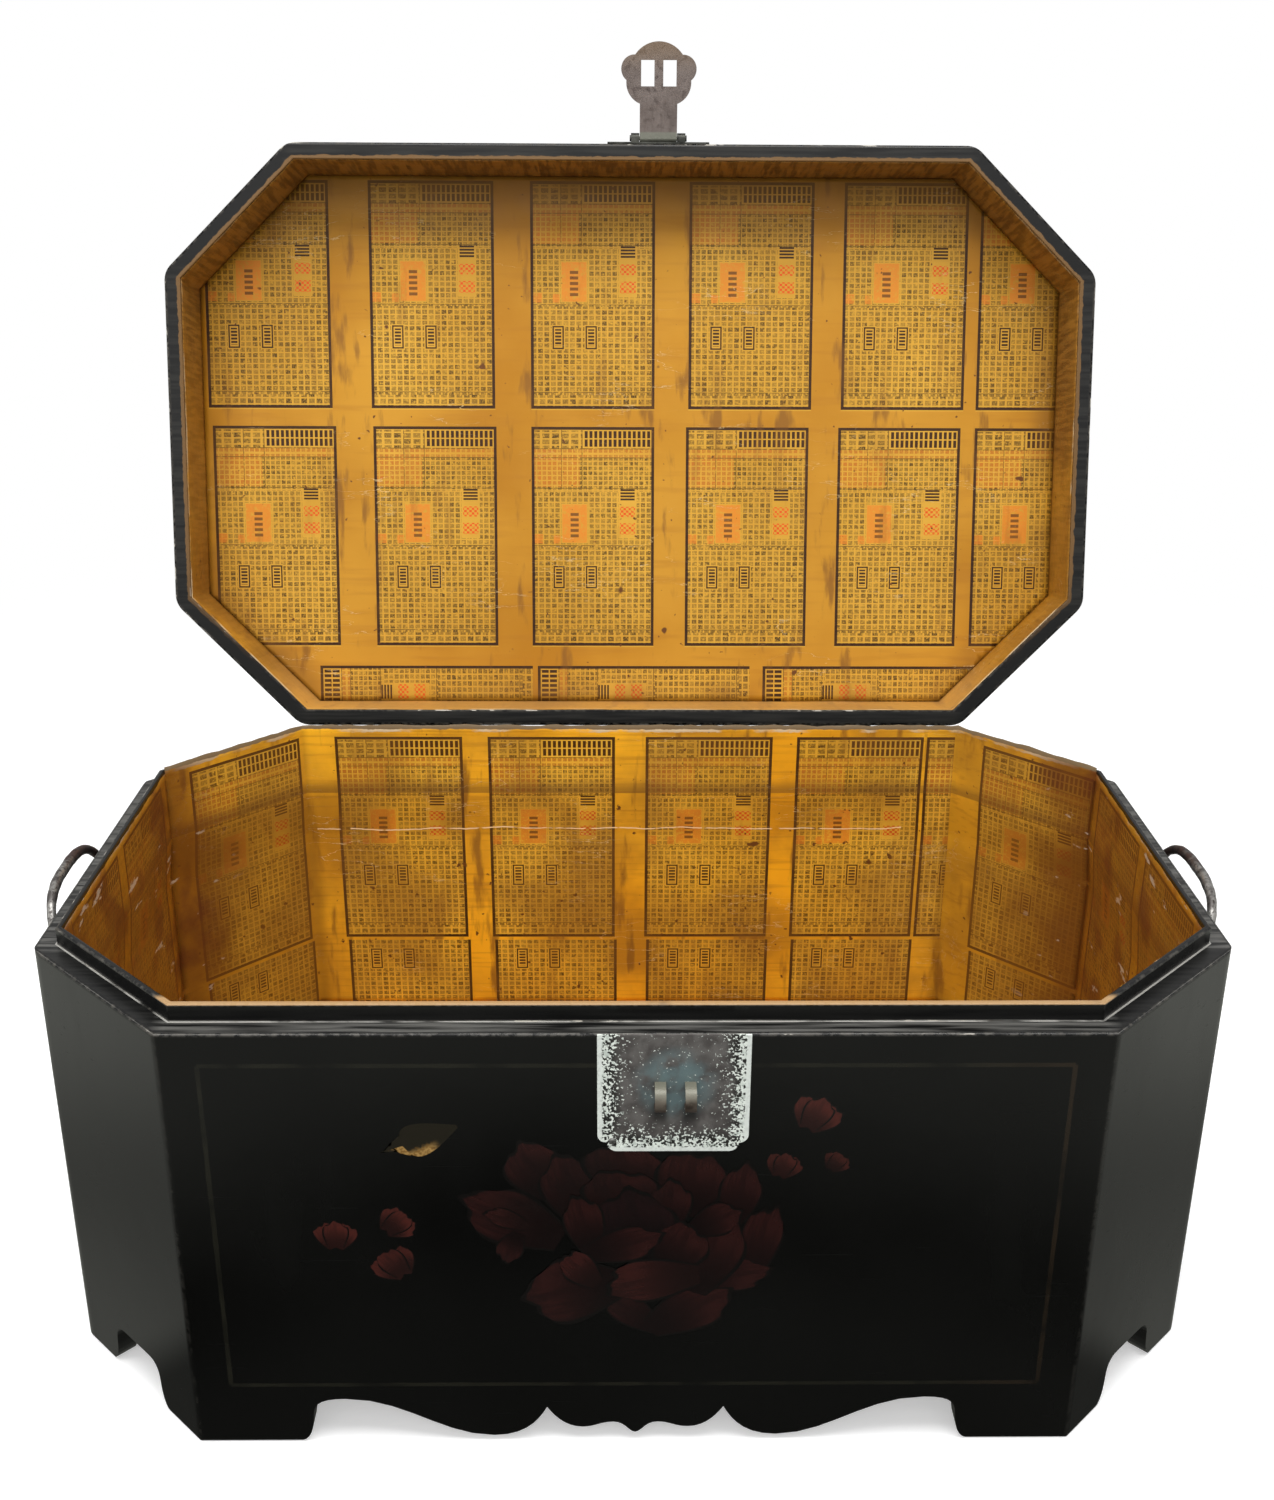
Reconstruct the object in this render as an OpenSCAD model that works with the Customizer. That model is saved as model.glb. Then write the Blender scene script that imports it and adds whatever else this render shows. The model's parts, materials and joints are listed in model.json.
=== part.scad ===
// Lacquered octagonal travel trunk: a board chest on cut bracket feet, with a
// hinged lid, a swinging hasp and a bail handle at each end. The lid stands open.
// Millimetres, X to the right, Y to the back, Z up. The origin is on the floor,
// at the middle of the plan outline that the trunk has with its lid open.

/* [Chest] */
// Length of the chest
chest_w = 860; // [800:10:960]
// Depth of the chest from front to back
chest_d = 535; // [500:5:600]
// Height from the floor to the ledge that the lid sits on
ledge_h = 342; // [310:2:400]
// Leg of each cut corner, along both sides
corner_leg = 115; // [110:1:120]
// Thickness of the wall boards
wall_t = 16; // [15:1:18]
// Rounding of the upright corners at the chest's front and back
corner_r = 8; // [4:1:10]
// Rounding of the upright corners at the chest's two ends
end_corner_r = 24; // [8:1:28]
// Top of the floor board
floor_z = 58; // [54:1:70]
// Thickness of the floor board
floor_t = 10; // [8:1:12]

/* [Mouth] */
// Thickness of the boards that make the raised lip
lip_t = 5; // [4:0.5:6]
// Rise of the lip above the ledge
lip_rise = 13; // [8:1:14]
// Depth of the lip boards below the ledge
lip_drop = 52; // [40:2:70]

/* [Feet] */
// Width of a foot on the front and back
front_foot = 79; // [70:1:90]
// Width of a foot on the two ends
end_foot = 51; // [46:1:60]
// Height of the arches beside the feet
arch_h = 39; // [32:1:40]
// Height of the lowest swell of the apron
apron_low = 5; // [4:1:8]
// Height of the cusps in the apron
cusp_h = 31; // [24:1:34]

/* [Lid] */
// Thickness of the lid's side boards
lid_wall_t = 15; // [13:0.5:15]
// Depth of the lid's side boards
lid_wall_h = 74; // [64:1:90]
// Thickness of the lid's top board
lid_top_t = 12; // [10:1:16]
// Rounding of the top board's edge
lid_edge_r = 8; // [3:1:9]
// Rounding of the lid's upright corners
lid_corner_r = 28; // [6:1:30]
// Angle that the lid stands open
lid_open = 104; // [95:1:110]

/* [Lock] */
// Distance of the lock from the middle, to the right
lock_x = 24; // [0:1:40]
// Width of the lock plate
plate_w = 101; // [90:1:110]
// Height of the lock plate
plate_h = 90; // [80:1:100]
// Height of the middle of the staples, down from the ledge
staple_drop = 45; // [43:1:46]
// Distance between the two staples
staple_pitch = 20; // [18:1:22]
// Length of the hasp from its pin to its tip
hasp_len = 82; // [80:1:88]
// Angle of the hasp from the way that it hangs when locked
hasp_raise = 76; // [0:1:170]

/* [Handles] */
// Height of the handle's pivot
bail_z = 280; // [250:2:300]
// Half the distance between the handle's arms
bail_half = 67; // [60:1:75]
// Reach of the handle from its pivot
bail_reach = 55; // [50:1:70]
// Angle of the handle above level
bail_raise = 74; // [0:1:85]

/* [Hidden] */
$fn = 48;

lacquer = [0.05, 0.05, 0.05];
raw_wood = [0.45, 0.32, 0.2];
paper = [0.8, 0.58, 0.2];
iron = [0.42, 0.4, 0.38];
worn_metal = [0.72, 0.74, 0.72];

// Tangent of half the turn between two neighbouring sides
mitre = tan(22.5);
seat_gap = 0.4;
paper_t = 0.4;
rim_z = ledge_h + seat_gap;
lid_top_z = rim_z + lid_wall_h + lid_top_t;

plate_t = 1.5;
plate_lobe = 6.5;
nail_r = 1.3;
nail_len = 12;
nail_head_r = 2.6;
nail_head_t = 1.2;

staple_w = 7.5;
staple_t = 2.2;
staple_h = 19;
staple_out = 14;
staple_shift = 1;
staple_leg = 13;
staple_z = ledge_h - staple_drop;

hinge_x = 200;
hinge_w = 60;
hinge_out = 8;
leaf_t = 1.8;
leaf_h = 42;
knuckle_r = 4.5;
hinge_pin_r = 2.4;
knuckle_gap = 0.3;
middle_knuckle = 24;
running_gap = 0.06;
hinge_y = chest_d / 2 + hinge_out;
hinge_z = ledge_h - 4;

hasp_t = 1.8;
hasp_knuckle_r = 4.6;
hasp_pin_r = 1.8;
hasp_out = plate_t + 0.4 + hasp_knuckle_r;
hasp_z = rim_z + 10;
neck_half = 17;
ear_w = 7.5;
slot_w = 12;
slot_h = 22;
hasp_plate_w = 93;
hasp_plate_h = 46;

bail_out = 8;
eye_half = bail_half - 7;
eye_wire_r = 1.9;
eye_r = 4.5;
bail_pin_r = 2.4;
bail_end_r = 3.2;
bail_grip_r = 4.3;

// How far the open lid moves the middle of the plan outline to the back
back_reach = hinge_y - (chest_d + hinge_out - lid_edge_r) * cos(lid_open)
    + (lid_top_z - lid_edge_r - hinge_z) * sin(lid_open) + lid_edge_r;
front_reach = chest_d / 2 + plate_t + staple_out;
plan_shift = (back_reach - front_reach) / 2;

// The trunk's outline drawn in by inset, from the left end of the front
function outline(inset) =
    let (x = chest_w / 2 - inset, y = chest_d / 2 - inset)
    let (c = corner_leg - inset * (2 - sqrt(2)))
    [[-x + c, -y], [x - c, -y], [x, -y + c], [x, y - c],
     [x - c, y], [-x + c, y], [-x, y - c], [-x, -y + c]];

// Side k of the outline: 0 front, 2 right, 4 back, 6 left, odd ones the corners
function side_length(k) = k % 2 == 1 ? corner_leg * sqrt(2)
    : (k % 4 == 0 ? chest_w : chest_d) - 2 * corner_leg;

// Quarter bend about a centre, or its corner point when the radius is nil
function bend(centre, r, start) = r == 0 ? [centre]
    : [for (i = [0:3]) centre + r * [cos(start + 30 * i), sin(start + 30 * i)]];

// Upright section of a board, rounded at outer foot, inner foot, inner and outer top
function board_section(y0, y1, z0, z1, r) = concat(
    bend([y0 + r[0], z0 + r[0]], r[0], 180), bend([y1 - r[1], z0 + r[1]], r[1], 270),
    bend([y1 - r[2], z1 - r[2]], r[2], 0), bend([y0 + r[3], z1 - r[3]], r[3], 90));

// Half of a rounded corner, from its mitre to the flat of the board
function half_corner(out, inset, r) = [for (a = [-112.5:7.5:-90])
    [-out + r * mitre + r * cos(a), inset + r + r * sin(a)]];

// Plan of a board with mitred ends, its two corners rounded by r[0] and r[1]
function board_plan(length, inset, t, r) =
    let (out = length / 2 - inset * mitre, right = half_corner(out, inset, r[1]))
    concat(half_corner(out, inset, r[0]), [for (i = [3:-1:0]) [-right[i].x, right[i].y]],
        [[out - t * mitre, inset + t], [-out + t * mitre, inset + t]]);

// Rounding of the chest's upright corner between side k - 1 and side k
function chest_corner(k) = k % 4 == 2 || k % 4 == 3 ? end_corner_r : corner_r;

// Smooth curve through every third point, with the points between as handles
function curve(p, n = 7) = concat([p[0]],
    [for (s = [0:3:len(p) - 4]) for (i = [1:n]) let (t = i / n, u = 1 - t)
        u * u * u * p[s] + 3 * u * u * t * p[s + 1]
            + 3 * u * t * t * p[s + 2] + t * t * t * p[s + 3]]);

// Foot's inner edge, from the crown of its arch down to the floor
function foot_edge(gap) = [[gap - 9, arch_h], [gap - 5, arch_h - 5],
    [gap - 4.5, arch_h - 15], [gap - 3.5, 9], [gap - 1, 0], [gap + 10, 0]];

// Right halves of the three edges cut in the boards, from the middle outwards
function long_apron(gap) = curve(concat(
    [[0, 7.5], [5, 8], [7, 17], [16, 17], [25, 17], [29, 12.5], [38, 12.5],
     [50, 12.5], [58, cusp_h - 9], [63.5, cusp_h],
     [69, cusp_h - 11], [78, apron_low], [102, apron_low],
     [140, apron_low], [gap - 71, arch_h], [gap - 28, arch_h]], foot_edge(gap)));
function end_apron(gap) = curve(concat(
    [[0, cusp_h], [5, cusp_h - 11], [14, apron_low], [34, apron_low],
     [56, apron_low], [gap - 36, arch_h], [gap - 18, arch_h]], foot_edge(gap)));
function corner_apron(gap) = curve(concat([[0, arch_h], [6, arch_h], [10, arch_h],
    [gap - 19, arch_h]], foot_edge(gap)));

function apron(k) = let (half = side_length(k) / 2)
    k % 2 == 1 ? corner_apron(half - 46)
    : k % 4 == 0 ? long_apron(half - front_foot) : end_apron(half - end_foot);

// Moves a piece from the chest's own middle to the origin of the open trunk
module in_place() {
    translate([0, -plan_shift, 0]) children();
}

// Swings a piece drawn on the closed lid to where the lid stands open
module on_open_lid() {
    in_place() translate([0, hinge_y, hinge_z]) rotate([-lid_open, 0, 0])
        translate([0, -hinge_y, -hinge_z]) children();
}

// Stands on the middle of side k, with the outside towards -Y
module on_side(k) {
    ends = outline(0);
    middle = (ends[k] + ends[(k + 1) % 8]) / 2;
    translate([middle.x, middle.y, 0]) rotate([0, 0, 45 * k]) children();
}

// Extrudes a shape drawn across Y and Z along X, about the middle
module along_x(length) {
    rotate([90, 0, 90]) translate([0, 0, -length / 2]) linear_extrude(length) children();
}

// Extrudes a shape drawn across X and Z from y0 back to y1
module along_y(y0, y1) {
    translate([0, y1, 0]) rotate([90, 0, 0]) linear_extrude(y1 - y0) children();
}

// Mitred board on side k between two heights, with its four edges rounded
module board(k, z0, z1, inset, t, r, edges) {
    intersection() {
        translate([0, 0, z0]) linear_extrude(z1 - z0)
            polygon(board_plan(side_length(k), inset, t, r));
        along_x(side_length(k)) polygon(board_section(inset, inset + t, z0, z1, edges));
    }
}

// Round-headed nail driven along +Y, with its head's back at y = 0
module nail() {
    rotate([-90, 0, 0]) cylinder(r = nail_r, h = nail_len);
    rotate([90, 0, 0]) cylinder(r1 = nail_head_r, r2 = nail_head_r * 0.6, h = nail_head_t);
}

// Hole that a nail fills in the wood
module nail_hole() {
    translate([0, -1, 0]) rotate([-90, 0, 0]) cylinder(r = nail_r, h = nail_len + 1.2);
}

// Places of the nails in one hinge leaf, drawn upwards from the hinge's axis
module at_leaf_nails() {
    for (spot = [[-21, 16], [21, 16], [0, 34]])
        translate([spot.x, 0, spot.y]) children();
}

// Places of the nails in the hasp's plate, on the front of the closed lid
module at_hasp_nails() {
    for (spot = [[-38, 10], [38, 10], [-29, 38], [29, 38]])
        translate([lock_x + spot.x, -chest_d / 2, rim_z + spot.y]) children();
}

// Both hinges' places along X
module at_hinges() {
    for (x = [-hinge_x, hinge_x]) translate([x, 0, 0]) children();
}

// Place of a nail in one lower corner of the lock plate
module at_lock_nail(side) {
    translate([lock_x + side * (plate_w / 2 - 10), -chest_d / 2, ledge_h - plate_h + 8])
        children();
}

// Middle of each staple on the front face
module at_staples() {
    for (side = [-1, 1])
        translate([lock_x + staple_shift + side * staple_pitch / 2, -chest_d / 2, staple_z])
            children();
}

// Two legs of a staple, as the slots that they fill
module staple_legs(reach) {
    for (side = [-1, 1])
        translate([-staple_w / 2, 0, side * (staple_h - staple_t) / 2 - staple_t / 2])
            cube([staple_w, reach, staple_t]);
}

// Wall board of the chest, with the feet and apron cut in its lower edge
module chest_wall(k) {
    half = apron(k);
    last = half[len(half) - 1];
    color(lacquer) in_place() difference() {
        on_side(k) difference() {
            board(k, 0, ledge_h, 0, wall_t, [chest_corner(k), chest_corner(k + 1)],
                [2, 1, 0, 2.5]);
            along_y(-1, wall_t + 1) polygon(concat(
                [for (i = [len(half) - 1:-1:1]) [-half[i].x, half[i].y]], half,
                [[last.x, -1], [-last.x, -1]]));
        }
        if (k == 0) {
            at_staples() translate([0, -1, 0]) staple_legs(staple_leg + 1);
            at_lock_nail(-1) nail_hole();
        }
        if (k == 4) at_hinges() translate([0, chest_d / 2, hinge_z])
            rotate([0, 0, 180]) mirror([0, 0, 1]) at_leaf_nails() nail_hole();
        if (k == 2 || k == 6) end_eyes(k == 2 ? 1 : -1) eye_shank();
    }
}

// Thin board of the raised lip, glued inside the wall board
module lip_board(k) {
    color(lacquer) in_place() on_side(k)
        board(k, ledge_h - lip_drop, ledge_h + lip_rise, wall_t, lip_t, [3, 3],
            [0, 0, 1.5, 1.5]);
}

// Floor board that drops in between the walls
module floor_board() {
    color(raw_wood) in_place() translate([0, 0, floor_z - floor_t])
        linear_extrude(floor_t) polygon(outline(wall_t));
}

// Strip glued to a wall that carries the floor board
module cleat(k) {
    length = side_length(k) - 60;
    color(raw_wood) in_place() on_side(k)
        translate([-length / 2, wall_t, floor_z - floor_t - 8]) cube([length, 22, 8]);
}

// Printed paper pasted on the walls, bridging the step under the lip boards
module wall_lining() {
    low = floor_z + paper_t;
    step = ledge_h - lip_drop;
    top = ledge_h + lip_rise - 1.5;
    loop = [[wall_t, low], [wall_t, step - 18], [wall_t + lip_t, step], [wall_t + lip_t, top],
        [wall_t + lip_t + paper_t, top], [wall_t + lip_t + paper_t, step],
        [wall_t + paper_t, step - 18], [wall_t + paper_t, low]];
    n = len(loop);
    points = [for (k = [0:7]) for (p = loop) let (c = outline(p.x)[k]) [c.x, c.y, p.y]];
    faces = [for (k = [0:7]) for (j = [0:n - 1]) let (next = (k + 1) % 8, up = (j + 1) % n)
        [k * n + j, k * n + up, next * n + up, next * n + j]];
    color(paper) in_place() polyhedron(points, faces);
}

// Printed paper pasted on the floor board
module floor_lining() {
    color(paper) in_place() translate([0, 0, floor_z])
        linear_extrude(paper_t) polygon(outline(wall_t));
}

// Sheet with double-rounded lower corners, its top edge at height 0
module lobed_sheet(w, h) {
    s = plate_lobe;
    translate([-w / 2, 2 * s - h]) square([w, h - 2 * s]);
    translate([s - w / 2, s - h]) square([w - 2 * s, h - s]);
    translate([2 * s - w / 2, -h]) square([w - 4 * s, h]);
    for (side = [-1, 1]) {
        translate([side * (w / 2 - s), 2 * s - h]) circle(s);
        translate([side * (w / 2 - 2 * s), s - h]) circle(s);
    }
}

// Plate behind the staples, with the hole of a lost nail at its right corner
module lock_plate() {
    color(worn_metal) in_place() difference() {
        translate([lock_x, 0, ledge_h])
            along_y(-chest_d / 2 - plate_t, -chest_d / 2) lobed_sheet(plate_w, plate_h);
        at_staples() translate([0, -plate_t - 1, 0]) staple_legs(plate_t + 2);
        for (side = [-1, 1]) at_lock_nail(side) translate([0, -plate_t - 1, 0])
            rotate([-90, 0, 0]) cylinder(r = nail_r, h = plate_t + 2);
    }
}

// Two strip staples that the hasp drops over and the padlock goes through
module lock_staples() {
    bend_y = staple_h / 2 - staple_out;
    color(iron) in_place() at_staples() translate([0, -plate_t, 0]) {
        along_x(staple_w) difference() {
            union() {
                translate([bend_y, 0]) circle(staple_h / 2);
                translate([bend_y, -staple_h / 2]) square([-bend_y, staple_h]);
            }
            translate([bend_y, 0]) circle(staple_h / 2 - staple_t);
            translate([bend_y, staple_t - staple_h / 2])
                square([1 - bend_y, staple_h - 2 * staple_t]);
            translate([0, -staple_h]) square([staple_h, 2 * staple_h]);
        }
        staple_legs(plate_t + staple_leg);
    }
}

module lock_plate_nail() {
    color(iron) in_place() at_lock_nail(-1) translate([0, -plate_t, 0]) nail();
}

// Plate of a hinge leaf below its axis, cranked out to the knuckles at its ends
module leaf_below(spans) {
    back = -hinge_out;
    difference() {
        union() {
            along_x(hinge_w) translate([back, -6 - leaf_h]) square([leaf_t, leaf_h]);
            for (span = spans) translate([(span[0] + span[1]) / 2, 0, 0])
                along_x(span[1] - span[0]) {
                    circle(knuckle_r);
                    polygon([[back, -10], [back, -6], [-3.2, -3.1], [-0.5, -4.4],
                        [back + leaf_t, -8.5], [back + leaf_t, -10]]);
                }
        }
        mirror([0, 0, 1]) at_leaf_nails() translate([0, -hinge_out - 1, 0])
            rotate([-90, 0, 0]) cylinder(r = nail_r, h = leaf_t + 2);
    }
}

// Leaf nailed to the back of the chest, with the two outer knuckles
module hinge_chest_leaf(side) {
    inner = middle_knuckle / 2 + knuckle_gap;
    color(iron) in_place() translate([side * hinge_x, hinge_y, hinge_z]) difference() {
        leaf_below([[-hinge_w / 2, -inner], [inner, hinge_w / 2]]);
        along_x(hinge_w + 2) circle(hinge_pin_r);
    }
}

// Leaf nailed to the back of the lid, whose heel meets the other leaf and stops the lid
module hinge_lid_leaf(side) {
    half = middle_knuckle / 2;
    color(iron) on_open_lid() translate([side * hinge_x, hinge_y, hinge_z]) difference() {
        union() {
            mirror([0, 0, 1]) leaf_below([[-half, half]]);
            rotate([lid_open, 0, 0]) along_x(middle_knuckle) polygon([[-3.4, -2.8],
                [leaf_t - hinge_out + 0.1, -7], [leaf_t - hinge_out + 0.1, -10.5],
                [-3.6, -10.5], [0.5, -4.4]]);
        }
        along_x(hinge_w + 2) circle(hinge_pin_r + running_gap);
    }
}

// Headed pin through the three knuckles
module hinge_pin(side) {
    color(iron) in_place() translate([side * hinge_x, hinge_y, hinge_z]) {
        along_x(hinge_w) circle(hinge_pin_r);
        for (end = [-1, 1]) translate([end * (hinge_w / 2 + 0.75), 0, 0])
            along_x(1.5) circle(hinge_pin_r + 1);
    }
}

module hinge_chest_nails() {
    color(iron) in_place() at_hinges() translate([0, chest_d / 2 + leaf_t, hinge_z])
        rotate([0, 0, 180]) mirror([0, 0, 1]) at_leaf_nails() nail();
}

module hinge_lid_nails() {
    color(iron) on_open_lid() at_hinges() translate([0, chest_d / 2 + leaf_t, hinge_z])
        rotate([0, 0, 180]) at_leaf_nails() nail();
}

// Stands at the two eyes of the handle on one end, with the outside towards -Y
module end_eyes(side) {
    translate([side * chest_w / 2, 0, bail_z]) rotate([0, 0, side * 90])
        for (x = [-eye_half, eye_half]) translate([x, 0, 0]) children();
}

// Shank of an eye, driven into the wall
module eye_shank() {
    translate([0, -bail_out + eye_r, 0]) rotate([-90, 0, 0])
        cylinder(r = eye_wire_r, h = bail_out - eye_r + wall_t - 2);
}

// Two wire eyes that hold the ends of a handle
module bail_eyes(side) {
    color(iron) in_place() end_eyes(side) {
        difference() {
            eye_shank();
            translate([0, -bail_out, 0]) along_x(20) circle(eye_r);
        }
        translate([0, -bail_out, 0]) rotate([0, 90, 0])
            rotate_extrude() translate([eye_r, 0]) circle(eye_wire_r, $fn = 24);
    }
}

// Centre line of a handle from arm to arm, with the rod's radius as a third value
function bail_point(a) = [
    bail_half * sign(cos(a)) * pow(abs(cos(a)), 0.7),
    -bail_reach * pow(abs(sin(a)), 0.7),
    bail_end_r + (bail_grip_r - bail_end_r) * pow(abs(sin(a)), 3)];

// Rod bent to a flattened round, thicker in the grip, with a pin at each end
module bail(side) {
    sides = 10;
    path = [for (a = [0:7.5:180]) bail_point(a)];
    last = len(path) - 1;
    points = [for (i = [0:last]) let (p = path[i])
        let (d = path[min(i + 1, last)] - path[max(i - 1, 0)], way = atan2(d.y, d.x))
        for (j = [0:sides - 1]) let (b = 360 * j / sides)
            [p.x - p[2] * cos(b) * sin(way), p.y + p[2] * cos(b) * cos(way), p[2] * sin(b)]];
    faces = concat([[for (j = [0:sides - 1]) j]],
        [for (i = [0:last - 1]) for (j = [0:sides - 1]) let (next = (j + 1) % sides)
            [i * sides + j, (i + 1) * sides + j, (i + 1) * sides + next, i * sides + next]],
        [[for (j = [sides - 1:-1:0]) last * sides + j]]);
    color(iron) in_place() translate([side * chest_w / 2, 0, bail_z])
        rotate([0, 0, side * 90]) translate([0, -bail_out, 0]) rotate([-bail_raise, 0, 0]) {
            polyhedron(points, faces);
            for (end = [-1, 1]) translate([end * bail_half, 0, 0]) {
                sphere(bail_end_r + 0.3);
                translate([-end * 7, 0, 0]) along_x(14) circle(bail_pin_r);
                translate([-end * 13.5, 0, 0]) along_x(2) circle(bail_pin_r + 0.9);
            }
        }
}

// Side board of the lid
module lid_wall(k) {
    color(lacquer) on_open_lid() difference() {
        on_side(k) board(k, rim_z, rim_z + lid_wall_h, 0, lid_wall_t,
            [lid_corner_r, lid_corner_r], [2.5, 1, 0, 0]);
        if (k == 0) at_hasp_nails() nail_hole();
        if (k == 4) at_hinges() translate([0, chest_d / 2, hinge_z])
            rotate([0, 0, 180]) at_leaf_nails() nail_hole();
    }
}

// Top board of the lid, its edge rounded over
module lid_top_board() {
    base = rim_z + lid_wall_h;
    edge_z = lid_top_z - lid_edge_r;
    color(lacquer) on_open_lid() hull() {
        translate([0, 0, base]) linear_extrude(edge_z - base) lid_plan(0);
        for (a = [22.5:22.5:90])
            translate([0, 0, edge_z]) linear_extrude(lid_edge_r * sin(a))
                lid_plan(lid_edge_r * (1 - cos(a)));
    }
}

// Whole plan of the lid with rounded corners
module lid_plan(inset) {
    r = lid_corner_r - inset;
    corners = outline(lid_corner_r);
    polygon([for (k = [0:7]) for (a = [-112.5:7.5:-67.5])
        corners[k] + r * [cos(a + 45 * k), sin(a + 45 * k)]]);
}

// Printed paper on the lid's side boards
module lid_wall_lining() {
    color(paper) on_open_lid() translate([0, 0, rim_z + 1])
        linear_extrude(lid_wall_h - paper_t - 1) difference() {
            polygon(outline(lid_wall_t));
            polygon(outline(lid_wall_t + paper_t));
        }
}

// Printed paper on the underside of the lid's top board
module lid_ceiling_lining() {
    color(paper) on_open_lid() translate([0, 0, rim_z + lid_wall_h - paper_t])
        linear_extrude(paper_t) polygon(outline(lid_wall_t));
}

// Plate on the front of the lid, with two ears for the hasp's pin
module hasp_plate() {
    color(iron) on_open_lid() difference() {
        union() {
            translate([lock_x, 0, rim_z + 1]) along_y(-chest_d / 2 - plate_t, -chest_d / 2)
                mirror([0, 1]) lobed_sheet(hasp_plate_w, hasp_plate_h);
            for (side = [-1, 1])
                translate([lock_x + side * (neck_half + 0.4 + ear_w / 2), 0, 0])
                    along_x(ear_w) {
                        translate([-chest_d / 2 - hasp_out, hasp_z]) circle(hasp_knuckle_r);
                        translate([-chest_d / 2 - hasp_out, hasp_z - hasp_knuckle_r])
                            square([hasp_out - plate_t / 2, hasp_knuckle_r]);
                    }
        }
        hasp_bore(hasp_pin_r);
        at_hasp_nails() translate([0, -plate_t - 1, 0]) rotate([-90, 0, 0])
            cylinder(r = nail_r, h = plate_t + 2);
    }
}

module hasp_plate_nails() {
    color(iron) on_open_lid() at_hasp_nails() translate([0, -plate_t, 0]) nail();
}

// Round hole along the hasp's hinge line
module hasp_bore(r) {
    translate([lock_x, -chest_d / 2 - hasp_out, hasp_z]) along_x(80) circle(r);
}

// Pin with two small heads, through the ears and the hasp
module hasp_pin() {
    span = 2 * (neck_half + 0.4 + ear_w);
    color(iron) on_open_lid() translate([lock_x, -chest_d / 2 - hasp_out, hasp_z]) {
        along_x(span) circle(hasp_pin_r);
        for (end = [-1, 1]) translate([end * (span / 2 + 0.6), 0, 0])
            along_x(1.2) circle(hasp_pin_r + 0.9);
    }
}

// Cloud-shaped outline of the hasp, hanging down from its pin
module hasp_outline() {
    translate([-neck_half, -38]) square([2 * neck_half, 38]);
    translate([0, 26.4 - hasp_len]) circle(26.4);
    for (side = [-1, 1]) {
        translate([side * 22, 23 - hasp_len]) circle(12);
        translate([side * 10.4, 34.5 - hasp_len]) circle(19);
    }
}

// Swinging hasp with two slots that drop over the staples
module hasp() {
    slot_z = hasp_z - staple_z;
    color(iron) on_open_lid() translate([lock_x, -chest_d / 2 - hasp_out, hasp_z])
        rotate([-hasp_raise, 0, 0]) difference() {
            union() {
                along_y(hasp_knuckle_r - hasp_t, hasp_knuckle_r) difference() {
                    hasp_outline();
                    for (side = [-1, 1])
                        translate([side * staple_pitch / 2 - slot_w / 2, -slot_z - slot_h / 2])
                            square([slot_w, slot_h]);
                }
                along_x(2 * neck_half) circle(hasp_knuckle_r);
            }
            along_x(80) circle(hasp_pin_r + running_gap);
        }
}

chest_wall(0);  // front_wall
chest_wall(1);  // front_right_wall
chest_wall(2);  // right_wall
chest_wall(3);  // back_right_wall
chest_wall(4);  // back_wall
chest_wall(5);  // back_left_wall
chest_wall(6);  // left_wall
chest_wall(7);  // front_left_wall
lip_board(0);  // front_lip
lip_board(1);  // front_right_lip
lip_board(2);  // right_lip
lip_board(3);  // back_right_lip
lip_board(4);  // back_lip
lip_board(5);  // back_left_lip
lip_board(6);  // left_lip
lip_board(7);  // front_left_lip
floor_board();
cleat(0);  // front_cleat
cleat(2);  // right_cleat
cleat(4);  // back_cleat
cleat(6);  // left_cleat
wall_lining();
floor_lining();
lock_plate();
lock_staples();
lock_plate_nail();
hinge_chest_leaf(-1);  // left_hinge_chest_leaf
hinge_chest_leaf(1);  // right_hinge_chest_leaf
hinge_pin(-1);  // left_hinge_pin
hinge_pin(1);  // right_hinge_pin
hinge_chest_nails();
bail_eyes(-1);  // left_bail_eyes
bail_eyes(1);  // right_bail_eyes
bail(-1);  // left_bail
bail(1);  // right_bail
lid_top_board();
lid_wall(0);  // lid_front_wall
lid_wall(1);  // lid_front_right_wall
lid_wall(2);  // lid_right_wall
lid_wall(3);  // lid_back_right_wall
lid_wall(4);  // lid_back_wall
lid_wall(5);  // lid_back_left_wall
lid_wall(6);  // lid_left_wall
lid_wall(7);  // lid_front_left_wall
lid_wall_lining();
lid_ceiling_lining();
hinge_lid_leaf(-1);  // left_hinge_lid_leaf
hinge_lid_leaf(1);  // right_hinge_lid_leaf
hinge_lid_nails();
hasp_plate();
hasp_plate_nails();
hasp_pin();
hasp();
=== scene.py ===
import json
import math
import random

import bmesh
import bpy
from mathutils import Matrix, Vector, noise


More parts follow.
